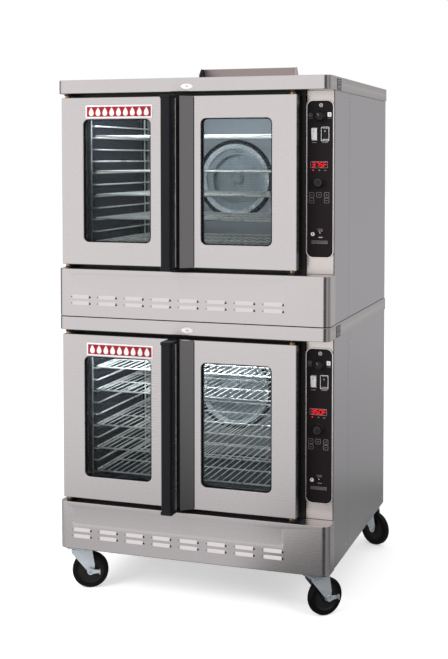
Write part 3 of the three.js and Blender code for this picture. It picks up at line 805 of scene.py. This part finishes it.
def build_blower(deck, place):
    """Blower wheel: back disc, front ring and forward-curved blades."""
    disc = turned_mesh([(0, 658), (14, 659), (20, 664), (22, 682), (118, 683), (124, 684), (124, 686),
                        (12, 686.5), (12, 760), (10, 762), (0, 762)], 48)
    ring = turned_mesh([(96, 651), (124, 650), (125, 651.5), (124, 653), (96, 653), (96, 651)], 48)
    blades = []
    for i in range(32):
        points = [(100 + 24 * t, 5 * math.sin(t * math.pi * 0.6)) for t in (0, 0.25, 0.5, 0.75, 1)]
        loop = [(r, w) for r, w in points] + [(r, w - 1.2) for r, w in reversed(points)]
        blade = slab_mesh([loop], 652, 684, 0.2, 1)
        blade.transform(Matrix(((1, 0, 0, 0), (0, 0, 1, 0), (0, -1, 0, 0), (0, 0, 0, 1))))
        blade.transform(Matrix.Rotation(2 * math.pi * i / 32, 4, "Y"))
        blades.append(blade)
    wheel = moved(joined_mesh([disc, ring, *blades]), at(CENTRE_X, 0, CENTRE_Z), place.matrix())
    dress(link(f"{deck}_blower", wheel, 35), ZINC, f"{deck}_blower_wheel", "zinc", f"{deck}_blower_wheel")


# ---- a deck's doors ---------------------------------------------------------------------
def build_door(deck, place, side):
    """A leaf: pressed steel shell, black window gasket, a window sleeve and leaf back painted near black as
    shade, two panes and the inner frame.
    """
    body = f"{deck}_door_{side}"
    low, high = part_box(f"{deck}_window_{side}")
    glass0 = (low.x - place.origin.x) / MM - 0.4
    glass1 = (high.x - place.origin.x) / MM + 0.4
    x0, x1, pin_x = (-469, -49.5, -452) if side == "left" else (-44.5, 375, 357)
    z0, z1 = DOOR_Z
    step = 13

    def opening(grow):
        return rounded(glass0 - grow, glass1 + grow, WINDOW_Z[0] - grow, WINDOW_Z[1] + grow, WINDOW_R
                       + grow, 8)

    shell = front_plate(place, f"{deck}_leaf_{side}", [rounded(x0, x1, z0, z1, 2.5, 3), opening(0)], 0, 29,
                        2.4, 4)
    dress(shell, DOOR_STEEL, body, "front_steel", f"{deck}_door_{side}")
    # back and sides of the leaf, painted near black as shade
    rear = front_plate(place, f"{deck}_leaf_rear_{side}",
                       [rounded(x0 + 0.8, x1 - 0.8, z0 + 0.8, z1 - 0.8, 2.5, 3), opening(step)], 29.2, 57,
                       0.8)
    dress(rear, DOOR_EDGE_PAINTED_SHADE, body, "front_steel")
    inside = front_plate(place, f"{deck}_inner_frame_{side}",
                         [rounded(x0 + 12, x1 - 12, z0 + 12, z1 - 12, 10), opening(step - 1)], 56.6, 59.8,
                         1.0)
    dress(inside, CAVITY_STEEL, body, "front_steel")
    gasket = front_plate(place, f"{deck}_window_gasket_{side}", [opening(0.6), opening(-3)], 3.5, 12, 1.2, 3)
    dress(gasket, SEAL_BLACK, body, "panel_black")
    # window sleeve, painted near black as the shade in the reveal
    sleeve = front_plate(place, f"{deck}_window_sleeve_{side}", [opening(0.4), opening(-1)], 11.5, 29.4,
                         0.3, 1)
    dress(sleeve, DOOR_EDGE_PAINTED_SHADE, body, "cavity_steel")
    seal = front_plate(place, f"{deck}_inner_seal_{side}", [opening(step + 0.5), opening(step - 4)], 43, 54,
                       0.8)
    dress(seal, SEAL_BLACK, body, "panel_black")
    for pane, y, grow in (("outer", 7, -1.5), ("inner", 46, step - 2)):
        glass = front_plate(place, f"{deck}_{pane}_pane_{side}", [opening(grow)], y, y + 4, 0.3, 1)
        dress(glass, GLASS, body, "door_glass", *([f"{deck}_window_{side}"] if pane == "outer" else []))
    xs = (glass0 - 28, glass1 + 28)
    screws = [(x, 59.6, z) for x in xs for z in (290, 400, 545, 655)]
    dress(screw_heads(place, f"{deck}_frame_screws_{side}", screws, (0, 1, 0)), ZINC, body, "zinc")
    pins = [moved(turned_mesh([(0, a), (6, a), (6, b), (0, b)], 24), Matrix.Rotation(math.pi / 2, 4, "X"),
                  at(pin_x, HINGE_Y, 0))
            for a, b in ((z0 - 14.5, z0 + 2), (z1 - 2, z1 + 13.5))]
    bushes = [moved(turned_mesh([(0, a), (9, a), (9.5, a + 1), (9.5, b - 1), (9, b), (0, b)], 24),
                    Matrix.Rotation(math.pi / 2, 4, "X"), at(pin_x, HINGE_Y, 0))
              for a, b in ((z0 - 7, z0 + 1), (z1 - 1, z1 + 6))]
    hinge = link(f"{deck}_hinge_pins_{side}", moved(joined_mesh(pins + bushes), place.matrix()), 35)
    dress(hinge, BRONZE, body, "zinc")


def build_badge(deck, place):
    """Enamel plate above the left window: a red field in a white rim, with a row of plain flames."""
    body = f"{deck}_door_left"
    x0, x1, z0, z1 = -377, -130, 687, 731
    rim = front_plate(place, f"{deck}_badge_rim", [rounded(x0, x1, z0, z1, 3)], -1.6, 0.3, 0.6)
    dress(rim, WHITE_PLASTIC, body, "white_plastic")
    border = 5
    field = front_plate(place, f"{deck}_badge_field",
                        [rounded(x0 + border, x1 - border, z0 + border, z1 - border, 2)], -2.1, -1.2, 0.3)
    dress(field, BADGE_RED, body, "white_plastic")
    centre_x, centre_z = (x0 + x1) / 2, (z0 + z1) / 2
    count, pitch, width, height = 9, 25.5, 11.5, 14.5
    marks = []
    for i in range(count):
        tip = centre_x + (i - (count - 1) / 2) * pitch
        turns = [2 * math.pi * j / 24 for j in range(24)]
        marks.append([(tip + width * math.sin(t) * abs(math.sin(t / 2)), centre_z + height * math.cos(t))
                      for t in turns])
    meshes = [slab_mesh([loop], 1.6, 2.5, 0.1, 1) for loop in marks]
    flames = link(f"{deck}_badge_flames", moved(joined_mesh(meshes), FRONT, place.matrix()))
    dress(flames, WHITE_PLASTIC, body, "white_plastic")


def build_handle(deck, place):
    """Full-height pull: black grip, a strip of bright steel as a painted highlight, black base and two end
    caps.
    """
    body = f"{deck}_door_left"
    x0, x1, z0, z1 = -71, -33, 187, 749
    r = 7
    grip = arc(x0 + r, -80 + r, r, 180, 270) + arc(x1 - r, -80 + r, r, 270, 360) + [(x1, -44.5), (x0, -44.5)]
    piece = plan_plate(place, f"{deck}_handle_grip", [grip], z0, z1, 0.6)
    dress(piece, HANDLE_BLACK, body, "handle_black", f"{deck}_door_handle")
    # strip of bright steel along the grip: painted highlight
    ledge = [(x0 + 1.5, -45), (x1 + 3, -45), (x1 + 4.2, -44), (x1 + 4.2, -42), (x1 - 0.6, -40),
             (x1 - 0.6, -29.5), (x0 + 1.5, -29.5)]
    strip = plan_plate(place, f"{deck}_handle_strip", [ledge], z0, z1, 0.3)
    dress(strip, RIM_PAINTED_HIGHLIGHT, body, "front_steel")
    base = plan_plate(place, f"{deck}_handle_base", [rectangle(x0, x1, -30, -0.6)], z0, z1, 1.0)
    dress(base, HANDLE_BLACK, body, "handle_black")
    plan = arc(x0 + 5, -75, 7, 180, 270) + arc(x1 - 5, -75, 7, 270, 360) + [(x1 + 2, -1), (x0 - 2, -1)]
    for part, low, high in (("top", 748, 759), ("bottom", 177, 188)):
        cap = plan_plate(place, f"{deck}_handle_cap_{part}", [plan], low, high, 2.2, 3)
        dress(cap, HANDLE_BLACK, body, "handle_black")


def build_flange(deck, place):
    """Flared flange on the right leaf, beside the handle."""
    plan = [(19, 0.6), (16.3, -1.8), (-20.6, -31.6), (-22.6, -29.4), (13, 0.6)]
    flange = plan_plate(place, f"{deck}_flange", [plan], DOOR_Z[0] + 0.5, DOOR_Z[1] - 0.5, 0.5)
    # the flange gets the darker steel, painted shade
    dress(flange, FLANGE_PAINTED_SHADE, f"{deck}_door_right", "front_steel")
    # black strip on the door face beside the flange: a painted shadow gap
    shadow_gap_strip = front_plate(place, f"{deck}_flange_painted_shadow_gap", [rectangle(15.4, 20.4, DOOR_Z[0] + 3, DOOR_Z[1] - 3)],
                       -0.7, 0.3, 0.3)
    dress(shadow_gap_strip, SEAL_BLACK, f"{deck}_door_right", "panel_black")


# ---- a deck's controls ------------------------------------------------------------------
PANEL_FACE = 71
SEGMENTS = {"0": "abcdef", "3": "abcdg", "5": "acdfg", "7": "abc", "F": "aefg"}


def digit_meshes(text, x, z, width, height, gap):
    """Seven-segment characters as thin raised bars."""
    bars = {"a": (0, 1, 1, 1), "g": (0, 0.5, 1, 0.5), "d": (0, 0, 1, 0), "f": (0, 0.5, 0, 1),
            "b": (1, 0.5, 1, 1), "e": (0, 0, 0, 0.5), "c": (1, 0, 1, 0.5)}
    meshes = []
    t = width * 0.125
    for i, letter in enumerate(text):
        left = x + i * (width + gap)
        for name in SEGMENTS[letter]:
            a0, b0, a1, b1 = bars[name]
            px0, px1 = left + a0 * width, left + a1 * width
            pz0, pz1 = z + b0 * height, z + b1 * height
            if pz0 == pz1:
                loop = rectangle(px0 + t, px1 - t, pz0 - t, pz0 + t)
            else:
                loop = rectangle(px0 - t, px0 + t, pz0 + t, pz1 - t)
            meshes.append(slab_mesh([loop], -PANEL_FACE, -PANEL_FACE + 1.1, 0.1, 1))
    return meshes


def printed(place, name, loop_sets, material, body="oven", proud=0.35):
    """Thin printed or moulded marks on the panel face, one loop set for each mark."""
    meshes = [slab_mesh(loops, -PANEL_FACE - 0.3, -PANEL_FACE + proud, 0.1, 1) for loops in loop_sets]
    piece = link(name, moved(joined_mesh(meshes), FRONT, place.matrix()))
    return dress(piece, material, body, "white_plastic")


MODE_KNOB = (437, 687, 19, 14)
SET_KNOB = (432, 471, 20, 15)
ROCKERS = {"light_switch": (414, 629.5, 18.5, 37), "fan_switch": (451, 629.5, 19.5, 35),
           "pulse_switch": (435, 300, 14, 20)}


def panel_marks():
    """Printed rings, keys and plain bars, without any lettering."""
    marks = [[circle(402, 692, 6.5, 24), circle(402, 692, 4.9, 24)], [circle(402, 692, 2.2, 16)]]
    marks += [[rectangle(395, 409, 680.5, 682)], [rectangle(459, 473, 680.5, 682)],
              [rectangle(406, 422, 601, 603)],
              [rectangle(441, 461, 601, 603)], [rectangle(425, 445, 316, 317.6)]]
    marks += [[rectangle(405, 461, z, z + 1.6)] for z in (277, 273, 269)]
    keys = [(406, 430), (431, 430), (457, 430), (406, 411), (457, 411)]
    marks += [[rounded(x - 8.5, x + 8.5, z - 8.5, z + 8.5, 3.5),
               rounded(x - 7.3, x + 7.3, z - 7.3, z + 7.3, 2.8)]
              for x, z in keys]
    marks += [[rectangle(x - 3.5, x + 3.5, z - 0.8, z + 0.8)] for x, z in keys]
    marks += [[circle(432, 511, 2.4, 16)], [rectangle(447, 456, 509, 511)]]
    return marks


def build_control_panel(deck, place, reading):
    x0, x1, z0, z1 = 390, 477.5, 224, 739
    holes = [circle(MODE_KNOB[0], MODE_KNOB[1], 5, 20), circle(SET_KNOB[0], SET_KNOB[1], 5, 20)]
    mouths = [rectangle(x - w / 2 - 1, x + w / 2 + 1, z - h / 2 - 2.3, z + h / 2 + 2.3) for x, z, w,
              h in ROCKERS.values()]
    plate = front_plate(place, f"{deck}_panel_face", [rounded(x0, x1, z0, z1, 20, 8), *holes, *mouths],
                        PANEL_FACE, 76.6, 1.0, 3)
    dress(plate, PANEL_BLACK, "oven", "panel_black", f"{deck}_control_panel")
    # rim of bright steel: painted highlight along the panel's edge
    rim = front_plate(place, f"{deck}_panel_rim",
                      [rounded(x0 - 4.6, x1 + 3.2, z0 - 3, z1 + 3, 23, 8),
                       rounded(x0 + 0.6, x1 - 0.6, z0 + 0.6, z1 - 0.6, 19.4, 8)],
                      71.6, 77.3, 0.8)
    dress(rim, RIM_PAINTED_HIGHLIGHT, "oven", "front_steel")
    fan = [[circle(MODE_KNOB[0], 724, 6.2, 24), circle(MODE_KNOB[0], 724, 4.8, 24)]]
    fan += [[[(MODE_KNOB[0] + r * math.cos(a + w), 724 + r * math.sin(a + w)) for r,
              w in ((0.4, 0), (4, -0.35), (4, 0.35))]]
            for a in (0.8, 2.37, 3.94, 5.5)]
    printed(place, f"{deck}_icons_white",
            fan + [[rounded(459, 472, 686, 700, 2), rectangle(463.5, 465, 689, 697),
                    rectangle(467, 468.5, 689, 697)],
                   [circle(410, 300, 6.5, 24), rectangle(408.8, 411.2, 297, 304)],
                   [rounded(437.4, 464.6, 606.4, 652.6, 3), rounded(438.8, 463.2, 607.8, 651.2, 2)]],
                   PRINT_WHITE)
    printed(place, f"{deck}_key_outlines", panel_marks(), PRINT_GREY)
    printed(place, f"{deck}_display_frame", [[rounded(402, 460.5, 518, 540, 2.5),
                                              rounded(403.4, 459.1, 519.4, 538.6, 1.5)]],
            PRINT_GREY, proud=0.8)
    digits = digit_meshes(reading, 407.5, 521.5, 9.8, 15,
                          3.4) + [slab_mesh([circle(411, 511, 2.2, 16)], -71.3, -70.2, 0.2)]
    window = slab_mesh([rectangle(403, 459.5, 519, 539)], -PANEL_FACE - 0.3, -PANEL_FACE + 0.3, 0.1, 1)
    glass = link(f"{deck}_display_window", moved(window, FRONT, place.matrix()))
    dress(glass, DISPLAY_DARK, "oven", "panel_black")
    display = link(f"{deck}_display_digits", moved(joined_mesh(digits), FRONT, place.matrix()))
    dress(display, DIGIT_RED, "oven", "white_plastic")


def build_knob(deck, place, name, x, z, skirt, grip, pointer):
    """Skirted knob with a fluted grip; the mode knob also has a pale index line."""
    body = f"{deck}_{name}"
    profile = [(0, 50), (grip - 2.5, 50), (grip - 0.8, 50.8), (grip, 52.5), (grip + 0.8, 63),
               (grip + 1.6, 65.5),
               (skirt - 1, 67), (skirt, 68), (skirt, 70.3), (4.2, 70.4), (4.2, 80), (0, 80)]
    steps = 72
    mesh = turned_mesh(profile, steps)
    for vert in mesh.vertices:
        radius = math.hypot(vert.co.x, vert.co.z)
        if grip - 1 < radius < grip + 1.2 and vert.co.y < 64:
            angle = math.atan2(vert.co.x, vert.co.z)
            scale = 1 + 0.035 * math.cos(angle * 18)
            vert.co.x *= scale
            vert.co.z *= scale
    mesh.transform(place.matrix() @ at(x, 0, z))
    dress(link(f"{deck}_{name}_cap", mesh, 35), KNOB_BLACK, body, "black_plastic", f"{deck}_{name}")
    if pointer:
        line = slab_mesh([rectangle(-1.1, 1.1, 3, grip - 1.5)], -50.4, -49.6, 0.1, 1)
        line = moved(line, FRONT, Matrix.Rotation(math.radians(-40), 4, "Y"), place.matrix() @ at(x, 0, z))
        dress(link(f"{deck}_{name}_index", line), PRINT_GREY, body, "white_plastic")
    else:
        ring = front_plate(place, f"{deck}_{name}_ring",
                           [circle(x, z, grip - 4, 40), circle(x, z, grip - 4.8, 40)], 49.7, 50.3, 0.1, 1)
        dress(ring, LABEL_DARK, body, "black_plastic")


def build_rocker(deck, place, name, x, z, width, height, material):
    """Rocker with a hollow face and a printed ring mark near its upper end."""
    half = height / 2
    face = [(66.8, z + half - 1.5), (68.2, z + half * 0.55), (69.2, z + half * 0.1), (69.9, z - half * 0.25),
            (71.2, z - half * 0.7), (72, z - half + 1.2)]
    loop = [(80, z - half + 2), (80, z + half - 2), (69, z + half)] + face
    rocker = side_plate(place, f"{deck}_{name}_rocker", [loop], x - width / 2, x + width / 2, 0.6)
    body = f"{deck}_{name}"
    slot = "white_plastic" if material == WHITE_PLASTIC else "black_plastic"
    dress(rocker, material, body, slot, f"{deck}_{name}")
    ink = PRINT_GREY if material == WHITE_PLASTIC else PRINT_WHITE
    upper = front_plate(place, f"{deck}_{name}_mark",
                        [circle(x, z + half * 0.55, 2.2, 16), circle(x, z + half * 0.55, 1.4, 16)],
                        67.6, 69.5, 0.1, 1)
    dress(upper, ink, body, "white_plastic")


# ---- pieces outside the decks -----------------------------------------------------------
def build_hood(place):
    """Draught hood: a plate that leans forward between two splayed wings."""
    loop = [(717, 820.5), (720, 820.5), (675, 896), (672, 896)]
    plate = side_plate(place, "hood_plate", [loop], -187, 187, 0.6)
    dress(plate, HOOD_STEEL, "oven", "hood_steel", "flue_hood")
    foot = plan_plate(place, "hood_foot", [rectangle(-187, 187, 717, 739)], 819.4, 822, 0.6)
    dress(foot, HOOD_STEEL, "oven", "hood_steel")
    wing_side = [(719, 819.6), (674, 896), (652, 896), (638, 874), (637, 819.6)]
    # the left wing is painted near black as shade; the right wing keeps the hood steel
    for side, name, material in ((-1, "left", HOOD_PAINTED_SHADE), (1, "right", HOOD_STEEL)):
        mesh = moved(slab_mesh([wing_side], side * 188.5 - 1.5, side * 188.5 + 1.5, 0.6), SIDE)
        for vert in mesh.vertices:
            behind = 719 - (vert.co.z - 820) * 45 / 76 - vert.co.y
            vert.co.x += side * behind * math.tan(math.radians(6))
        mesh.transform(place.matrix())
        dress(link(f"hood_wing_{name}", mesh), material, "oven", "hood_steel")


CASTERS = {"front_left": 25, "front_right": 50, "back_left": 210, "back_right": -30}
TRAIL = 38
AXLE_Z = 63.5


def caster_frame(name):
    """Millimetres about a caster's swivel axis at the floor, with the wheel towards +X."""
    joint = next(j for j in frame["joints"] if j["name"] == f"caster_swivel_{name}")
    x, y, _ = joint["pos_m"]
    return Matrix.Translation((x, y, 0)) @ Matrix.Rotation(math.radians(CASTERS[name]), 4,
                                                           "Z") @ Matrix.Scale(MM, 4)


def build_caster(name):
    axes = caster_frame(name)
    build_wheel(name, axes)
    build_fork(name, axes)
    build_caster_plate(name)
    if name.startswith("front"):
        build_brake(name, axes)


def build_wheel(name, axes):
    body = f"wheel_{name}"
    node = f"caster_wheel_{name}"
    tread = [(46, -13.5), (50, -14.5), (58.5, -14.5), (61.8, -12), (63.3, -8), (63.5, 0), (63.3, 8),
             (61.8, 12), (58.5, 14.5), (50, 14.5), (46, 13.5), (46, -13.5)]
    mesh = moved(turned_mesh(tread, 64), axes @ at(TRAIL, 0, AXLE_Z))
    dress(link(f"wheel_tread_{name}", mesh, 40), TREAD, body, "tread_rubber", node)
    core = [(6.5, -15.8), (15, -15.8), (17, -14), (19, -9.5), (40, -8.5), (44, -12), (46.4, -13.2),
            (46.4, 13.2), (44, 12), (40, 8.5), (19, 9.5), (17, 14), (15, 15.8), (6.5, 15.8), (6.5, -15.8)]
    mesh = moved(turned_mesh(core, 48), axes @ at(TRAIL, 0, AXLE_Z))
    dress(link(f"wheel_core_{name}", mesh, 35), KNOB_BLACK, body, "black_plastic")


def build_fork(name, axes):
    body = f"caster_{name}"
    top = 141.4
    leg = ([(-29, top - 1), (-28, top - 13), (TRAIL - 13.5, AXLE_Z + 2)]
           + arc(TRAIL, AXLE_Z, 13, 190, 350, 10)
           + [(TRAIL + 15, AXLE_Z + 20), (TRAIL + 8, top - 16), (TRAIL + 6, top - 1)])
    meshes = [moved(slab_mesh([leg], -y1, -y0, 0.8), FRONT) for y0, y1 in ((-20.2, -17.2), (17.2, 20.2))]
    crown = [(-29, -20), (-12, -26), (24, -26), (44, -20), (44, 20), (24, 26), (-12, 26), (-29, 20)]
    meshes.append(slab_mesh([crown], top - 4, top - 0.4, 1.0))
    raceway = turned_mesh([(0, top - 12), (22, top - 12), (26, top - 9), (27, top - 4), (0, top - 3.5)], 40)
    meshes.append(moved(raceway, Matrix.Rotation(math.pi / 2, 4, "X")))
    mesh = joined_mesh(meshes)
    mesh.transform(axes)
    dress(link(f"fork_{name}", mesh), ZINC, body, "zinc", f"caster_fork_{name}")
    nuts = []
    for y0, y1 in ((-25, -20), (20, 25)):
        nuts.append(moved(slab_mesh([circle(TRAIL, AXLE_Z, 9, 6)], -y1, -y0, 0.8), FRONT))
        nuts.append(moved(slab_mesh([circle(TRAIL, AXLE_Z, 5, 20)], -y1 - 1.6, -y0 + 1.6, 0.8), FRONT))
    mesh = joined_mesh(nuts)
    mesh.transform(axes)
    dress(link(f"axle_nuts_{name}", mesh), ZINC, body, "zinc")


def build_caster_plate(name):
    """Top plate with its four bolts and the fixed race, which don't swivel."""
    joint = next(j for j in frame["joints"] if j["name"] == f"caster_swivel_{name}")
    x, y, _ = joint["pos_m"]
    square = Matrix.Translation((x, y, 0)) @ Matrix.Scale(MM, 4)
    meshes = [slab_mesh([rounded(-36, 36, -36, 36, 8)], 145.2, 149.4, 0.8)]
    meshes.append(slab_mesh([circle(0, 0, 29, 40)], 142.2, 145.4, 1.0))
    meshes += [slab_mesh([circle(a * 27, b * 27, 6, 6)], 142.4, 145.6, 0.6) for a in (-1, 1) for b in (-1, 1)]
    mesh = joined_mesh(meshes)
    mesh.transform(square)
    dress(link(f"caster_plate_{name}", mesh), ZINC, "oven", "zinc")


def build_brake(name, axes):
    body = f"brake_{name}"
    near = -31
    hub = moved(slab_mesh([circle(TRAIL, AXLE_Z, 11.5, 32), circle(TRAIL, AXLE_Z, 6, 20)], 25.5,
                          -near - 0.2, 1.0), FRONT)
    arm_loop = ([(TRAIL + 6, AXLE_Z - 8)] + arc(TRAIL + 28, AXLE_Z, 6.5, -60, 60, 6)
                + [(TRAIL + 6, AXLE_Z + 8)])
    arm = moved(slab_mesh([arm_loop], -near - 3, -near, 0.8), FRONT)
    tread = moved(slab_mesh([rounded(-9, 9, near - 8, near + 3, 2)], TRAIL + 31, TRAIL + 34, 0.8),
                  Matrix(((0, 0, 1, 0), (0, 1, 0, 0), (1, 0, 0, 0), (0, 0, 0, 1))), at(0, 0, AXLE_Z))
    mesh = joined_mesh([hub, arm, tread])
    mesh.transform(axes)
    dress(link(f"brake_pedal_{name}", mesh), ZINC, body, "zinc", f"brake_lever_{name}")


# ---- assembly ---------------------------------------------------------------------------
def build_deck(deck, top, reading, rack_mesh):
    cap_low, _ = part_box(f"{deck}_top_cap")
    panel_low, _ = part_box(f"{deck}_louvre_panel")
    place = Place(0.0, cap_low.y, panel_low.z - 0.3 * MM)
    build_cap(deck, place, top)
    build_louvre_panel(deck, place)
    build_cabinet(deck, place)
    build_control_housing(deck, place)
    build_liner(deck, place)
    build_guides(deck, place)
    build_racks(deck, place, rack_mesh)
    build_blower(deck, place)
    for side in ("left", "right"):
        build_door(deck, place, side)
    build_badge(deck, place)
    build_handle(deck, place)
    build_flange(deck, place)
    build_control_panel(deck, place, reading)
    build_knob(deck, place, "mode_knob", *MODE_KNOB, True)
    build_knob(deck, place, "set_knob", *SET_KNOB, False)
    for name, sizes in ROCKERS.items():
        build_rocker(deck, place, name, *sizes, WHITE_PLASTIC if name == "light_switch" else KNOB_BLACK)
    light_cavity(deck, place)
    return place


def area_light(name, location, target, size, power, colour=(1, 1, 1)):
    data = bpy.data.lights.new(name, "AREA")
    data.shape = "RECTANGLE"
    data.size, data.size_y = size
    data.energy = power
    data.color = colour
    lamp = bpy.data.objects.new(name, data)
    bpy.context.scene.collection.objects.link(lamp)
    lamp.location = location
    direction = Vector(target) - Vector(location)
    lamp.rotation_euler = direction.to_track_quat("-Z", "Y").to_euler()
    return lamp


def light_cavity(deck, place):
    """Soft, cool light inside the cavity, from its upper front edge."""
    lamp = area_light(f"{deck}_cavity_lamp", place.at(CENTRE_X, 110, 714), place.at(CENTRE_X, 420, 380),
                      (0.6, 0.05), 8.5, (0.85, 0.93, 1.0))
    lamp.visible_camera = False
    lamp.visible_glossy = False


def mix_by_camera_ray(tree, other, seen, output):
    """Joins two shaders: one for what the camera sees, the other for light and reflections."""
    path = tree.nodes.new("ShaderNodeLightPath")
    mix = tree.nodes.new("ShaderNodeMixShader")
    tree.links.new(path.outputs["Is Camera Ray"], mix.inputs["Fac"])
    tree.links.new(other, mix.inputs[1])
    tree.links.new(seen, mix.inputs[2])
    tree.links.new(mix.outputs["Shader"], output.inputs["Surface"])


def build_floor():
    """Plain pale floor. It reflects a softer grey near the oven, as a studio sweep does."""
    mesh = bpy.data.meshes.new("floor")
    mesh.from_pydata([(-40, -40, 0), (40, -40, 0), (40, 40, 0), (-40, 40, 0)], [], [(0, 1, 2, 3)])
    floor = bpy.data.objects.new("floor", mesh)
    bpy.context.scene.collection.objects.link(floor)
    paint = bpy.data.materials.new("floor_paint")
    paint.use_nodes = True
    tree = paint.node_tree
    tree.nodes.clear()
    output = tree.nodes.new("ShaderNodeOutputMaterial")
    matt = tree.nodes.new("ShaderNodeBsdfDiffuse")
    matt.inputs["Color"].default_value = (0.88, 0.88, 0.88, 1)
    lift = tree.nodes.new("ShaderNodeEmission")
    lift.inputs["Strength"].default_value = 0.45
    pale = tree.nodes.new("ShaderNodeAddShader")
    tree.links.new(matt.outputs["BSDF"], pale.inputs[0])
    tree.links.new(lift.outputs["Emission"], pale.inputs[1])
    place = tree.nodes.new("ShaderNodeTexCoord")
    length = tree.nodes.new("ShaderNodeVectorMath")
    length.operation = "LENGTH"
    tree.links.new(place.outputs["Object"], length.inputs[0])
    reach = tree.nodes.new("ShaderNodeMapRange")
    reach.inputs["From Max"].default_value = SWEEP_REACH
    tree.links.new(length.outputs["Value"], reach.inputs["Value"])
    shade = grey_ramp(tree, [(distance / SWEEP_REACH, value) for distance, value in SWEEP])
    tree.links.new(reach.outputs["Result"], shade.inputs["Fac"])
    sweep = tree.nodes.new("ShaderNodeEmission")
    tree.links.new(round_the_studio(tree, place.outputs["Object"]), sweep.inputs["Color"])
    tree.links.new(shade.outputs["Color"], sweep.inputs["Strength"])
    mix_by_camera_ray(tree, sweep.outputs["Emission"], pale.outputs["Shader"], output)
    mesh.materials.append(paint)


def grey_ramp(tree, stops):
    ramp = tree.nodes.new("ShaderNodeValToRGB")
    for _ in range(len(stops) - 2):
        ramp.color_ramp.elements.new(0.5)
    for stop, (position, value) in zip(ramp.color_ramp.elements, stops):
        stop.position = position
        stop.color = (value, value, value, 1)
    return ramp


def round_the_studio(tree, direction):
    """Colour of the studio in a direction, whatever its height."""
    split = tree.nodes.new("ShaderNodeSeparateXYZ")
    tree.links.new(direction, split.inputs["Vector"])
    flip = tree.nodes.new("ShaderNodeMath")
    flip.operation = "MULTIPLY"
    flip.inputs[1].default_value = -1
    tree.links.new(split.outputs["Y"], flip.inputs[0])
    angle = tree.nodes.new("ShaderNodeMath")
    angle.operation = "ARCTAN2"
    tree.links.new(split.outputs["X"], angle.inputs[0])
    tree.links.new(flip.outputs["Value"], angle.inputs[1])
    turn = tree.nodes.new("ShaderNodeMapRange")
    turn.inputs["From Min"].default_value = -math.pi
    turn.inputs["From Max"].default_value = math.pi
    tree.links.new(angle.outputs["Value"], turn.inputs["Value"])
    ramp = grey_ramp(tree, [((degrees + 180) / 360, value) for degrees, value in STUDIO])
    tree.links.new(turn.outputs["Result"], ramp.inputs["Fac"])
    return ramp.outputs["Color"]


# Brightness of the studio round the oven, by the angle in degrees from its front towards its right,
# and the share of it that the floor mirrors back, by the distance from the oven's middle in metres.
STUDIO = ((-180, 0.5), (-158, 0.5), (-148, 0.12), (-96, 0.12), (-82, 0.85), (-40, 0.97), (5, 0.97),
          (12, 0.07),
          (43, 0.07), (51, 0.4), (80, 0.4), (86, 0.2), (99, 0.2), (110, 0.46), (145, 0.5), (180, 0.5))
SWEEP_REACH = 12
SWEEP = ((0.0, 0.65), (0.85, 0.65), (1.3, 0.42), (1.7, 0.76), (3.2, 0.86), (6.0, 1.03), (11.0, 1.03))


def build_world():
    """White to the camera; a studio of soft bright and dark sides to light and reflections."""
    world = bpy.data.worlds.new("studio")
    bpy.context.scene.world = world
    world.use_nodes = True
    tree = world.node_tree
    tree.nodes.clear()
    output = tree.nodes.new("ShaderNodeOutputWorld")
    coordinates = tree.nodes.new("ShaderNodeTexCoord")
    split = tree.nodes.new("ShaderNodeSeparateXYZ")
    tree.links.new(coordinates.outputs["Generated"], split.inputs["Vector"])
    rise = tree.nodes.new("ShaderNodeMapRange")
    rise.interpolation_type = "SMOOTHSTEP"
    rise.inputs["From Min"].default_value = 0.3
    rise.inputs["From Max"].default_value = 0.8
    tree.links.new(split.outputs["Z"], rise.inputs["Value"])
    dome = tree.nodes.new("ShaderNodeMix")
    dome.data_type = "RGBA"
    dome.inputs["B"].default_value = (0.85, 0.85, 0.85, 1)
    tree.links.new(rise.outputs["Result"], dome.inputs["Factor"])
    tree.links.new(round_the_studio(tree, coordinates.outputs["Generated"]), dome.inputs["A"])
    light = tree.nodes.new("ShaderNodeBackground")
    tree.links.new(dome.outputs["Result"], light.inputs["Color"])
    seen = tree.nodes.new("ShaderNodeBackground")
    seen.inputs["Color"].default_value = (1, 1, 1, 1)
    mix_by_camera_ray(tree, light.outputs["Background"], seen.outputs["Background"], output)


def build_lights():
    """Two soft boxes for the matt pieces; the sheet metal only mirrors the studio."""
    key = area_light("key", (-2.6, -4.2, 3.4), (0, 0, 0.9), (2.4, 2.4), 150)
    fill = area_light("fill", (3.6, -2.4, 2.2), (0, 0, 0.9), (1.6, 2.2), 60)
    for lamp in (key, fill):
        lamp.visible_glossy = False


def build_camera():
    """Camera at eye height, turned left and slightly down, with the frame shifted down."""
    data = bpy.data.cameras.new("camera")
    data.lens = 65.73
    data.sensor_width = 36
    data.shift_x = -0.0046
    data.shift_y = -0.18
    camera = bpy.data.objects.new("camera", data)
    bpy.context.scene.collection.objects.link(camera)
    camera.location = (1.4158, -4.1874, 1.5193)
    camera.rotation_euler = (math.radians(90 - 2.507), 0, math.radians(18.746))
    bpy.context.scene.camera = camera


def make_rack_mesh():
    mesh = rack_wire_mesh()
    mesh.transform(Matrix.Scale(MM, 4))
    mesh.shade_smooth()
    mesh.set_sharp_from_angle(angle=math.radians(40))
    mesh.materials.append(WIRE)
    return mesh


bpy.context.scene.view_settings.view_transform = "Standard"
build_camera()
build_floor()
build_world()
build_lights()
racks = make_rack_mesh()
build_deck("lower", CAP_Z[1] - 0.3, "350F", racks)
upper = build_deck("upper", CAP_Z[1], "375F", racks)
build_hood(upper)
for caster in CASTERS:
    build_caster(caster)
